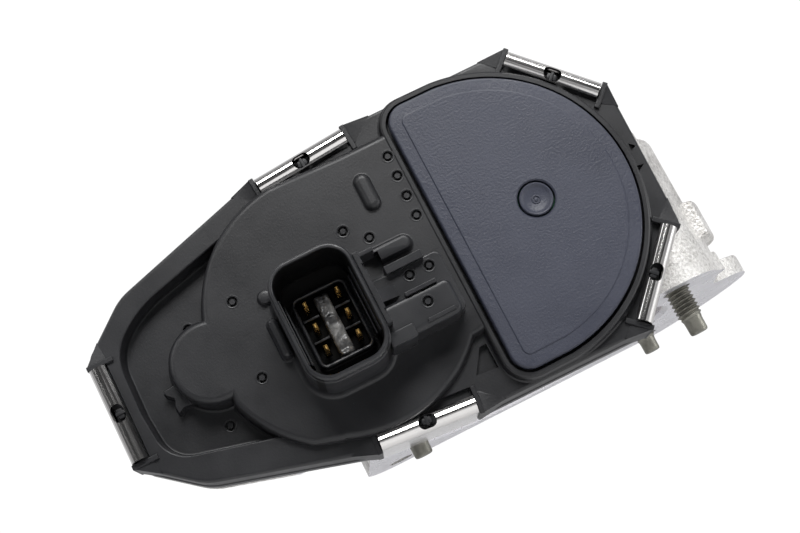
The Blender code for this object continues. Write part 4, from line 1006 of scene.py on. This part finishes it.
world = bpy.data.worlds.new("studio")
bpy.context.scene.world = world
world.use_nodes = True
tree = world.node_tree
tree.nodes.clear()
out = tree.nodes.new("ShaderNodeOutputWorld")
seen, lit, mix, path = (tree.nodes.new(f"ShaderNode{k}") for k in ("Background", "Background", "MixShader", "LightPath"))
seen.inputs["Color"].default_value = (1, 1, 1, 1)
seen.inputs["Strength"].default_value = 1.05
coords = tree.nodes.new("ShaderNodeTexCoord")
split = tree.nodes.new("ShaderNodeSeparateXYZ")
ramp = tree.nodes.new("ShaderNodeValToRGB")
tree.links.new(coords.outputs["Generated"], split.inputs[0])
spread = tree.nodes.new("ShaderNodeMapRange")
spread.inputs["From Min"].default_value = -1.0
spread.inputs["From Max"].default_value = 1.0
tree.links.new(split.outputs["Y"], spread.inputs["Value"])
tree.links.new(spread.outputs["Result"], ramp.inputs["Fac"])
stops = [(0.0, 0.035), (0.2, 0.05), (0.36, 0.13), (0.5, 0.5), (0.64, 0.9), (1.0, 1.0)]  # darker behind the camera, bright round the object
while len(ramp.color_ramp.elements) < len(stops):
    ramp.color_ramp.elements.new(0.5)
for element, (at, value) in zip(ramp.color_ramp.elements, stops):
    element.position = at
    element.color = (value, value, value * 1.02, 1)
tree.links.new(ramp.outputs["Color"], lit.inputs["Color"])
lit.inputs["Strength"].default_value = 0.72
tree.links.new(path.outputs["Is Camera Ray"], mix.inputs["Fac"])
tree.links.new(lit.outputs[0], mix.inputs[1])
tree.links.new(seen.outputs[0], mix.inputs[2])
tree.links.new(mix.outputs[0], out.inputs["Surface"])

CAMERA_AT = Vector((-0.0525, -0.380, -0.0366))
RIGHT, UP, BACK = Vector((.8920, .00975, -.4519)), Vector((.4427, -.2207, .8691)), Vector((-.0913, -.9753, -.2012))


def softbox(name, at, size, energy, target=(0, -0.03, 0.03), colour=(1, 1, 1), size_y=None):
    light = bpy.data.lights.new(name, "AREA")
    light.shape = "RECTANGLE"
    light.size = size
    light.size_y = size_y or size
    light.energy = energy
    light.color = colour
    obj = bpy.data.objects.new(name, light)
    bpy.context.scene.collection.objects.link(obj)
    obj.location = at
    obj.rotation_euler = (Vector(target) - Vector(at)).to_track_quat("-Z", "Y").to_euler()
    return obj


def studio(u, v, w):
    """A place given along the picture's right, up and towards the camera, from the object's middle."""
    return tuple(Vector((0, -0.05, 0.03)) + RIGHT * u + UP * v + BACK * w)


softbox("key", studio(-0.05, 0.80, 0.55), 0.7, 9.8, size_y=0.35)
softbox("left", studio(-0.75, 0.35, 0.45), 0.3, 1.8, size_y=0.7)
softbox("right", studio(0.8, 0.2, 0.15), 0.3, 2.2, size_y=0.7)
softbox("low", studio(0.45, -0.65, -0.15), 0.4, 0.15, size_y=0.3)

camera_data = bpy.data.cameras.new("camera")
camera = bpy.data.objects.new("camera", camera_data)
bpy.context.scene.collection.objects.link(camera)
camera_data.lens = 67.5
camera_data.sensor_width = 36
camera_data.clip_start = 0.01
right = RIGHT.normalized()
up = (UP - right * UP.dot(right)).normalized()
back = right.cross(up)
matrix = Matrix.Identity(4)
for column, direction in enumerate((right, up, back)):
    matrix.col[column][:3] = direction
matrix.translation = CAMERA_AT
camera.matrix_world = matrix
bpy.context.scene.camera = camera
bpy.context.scene.view_settings.view_transform = "Standard"
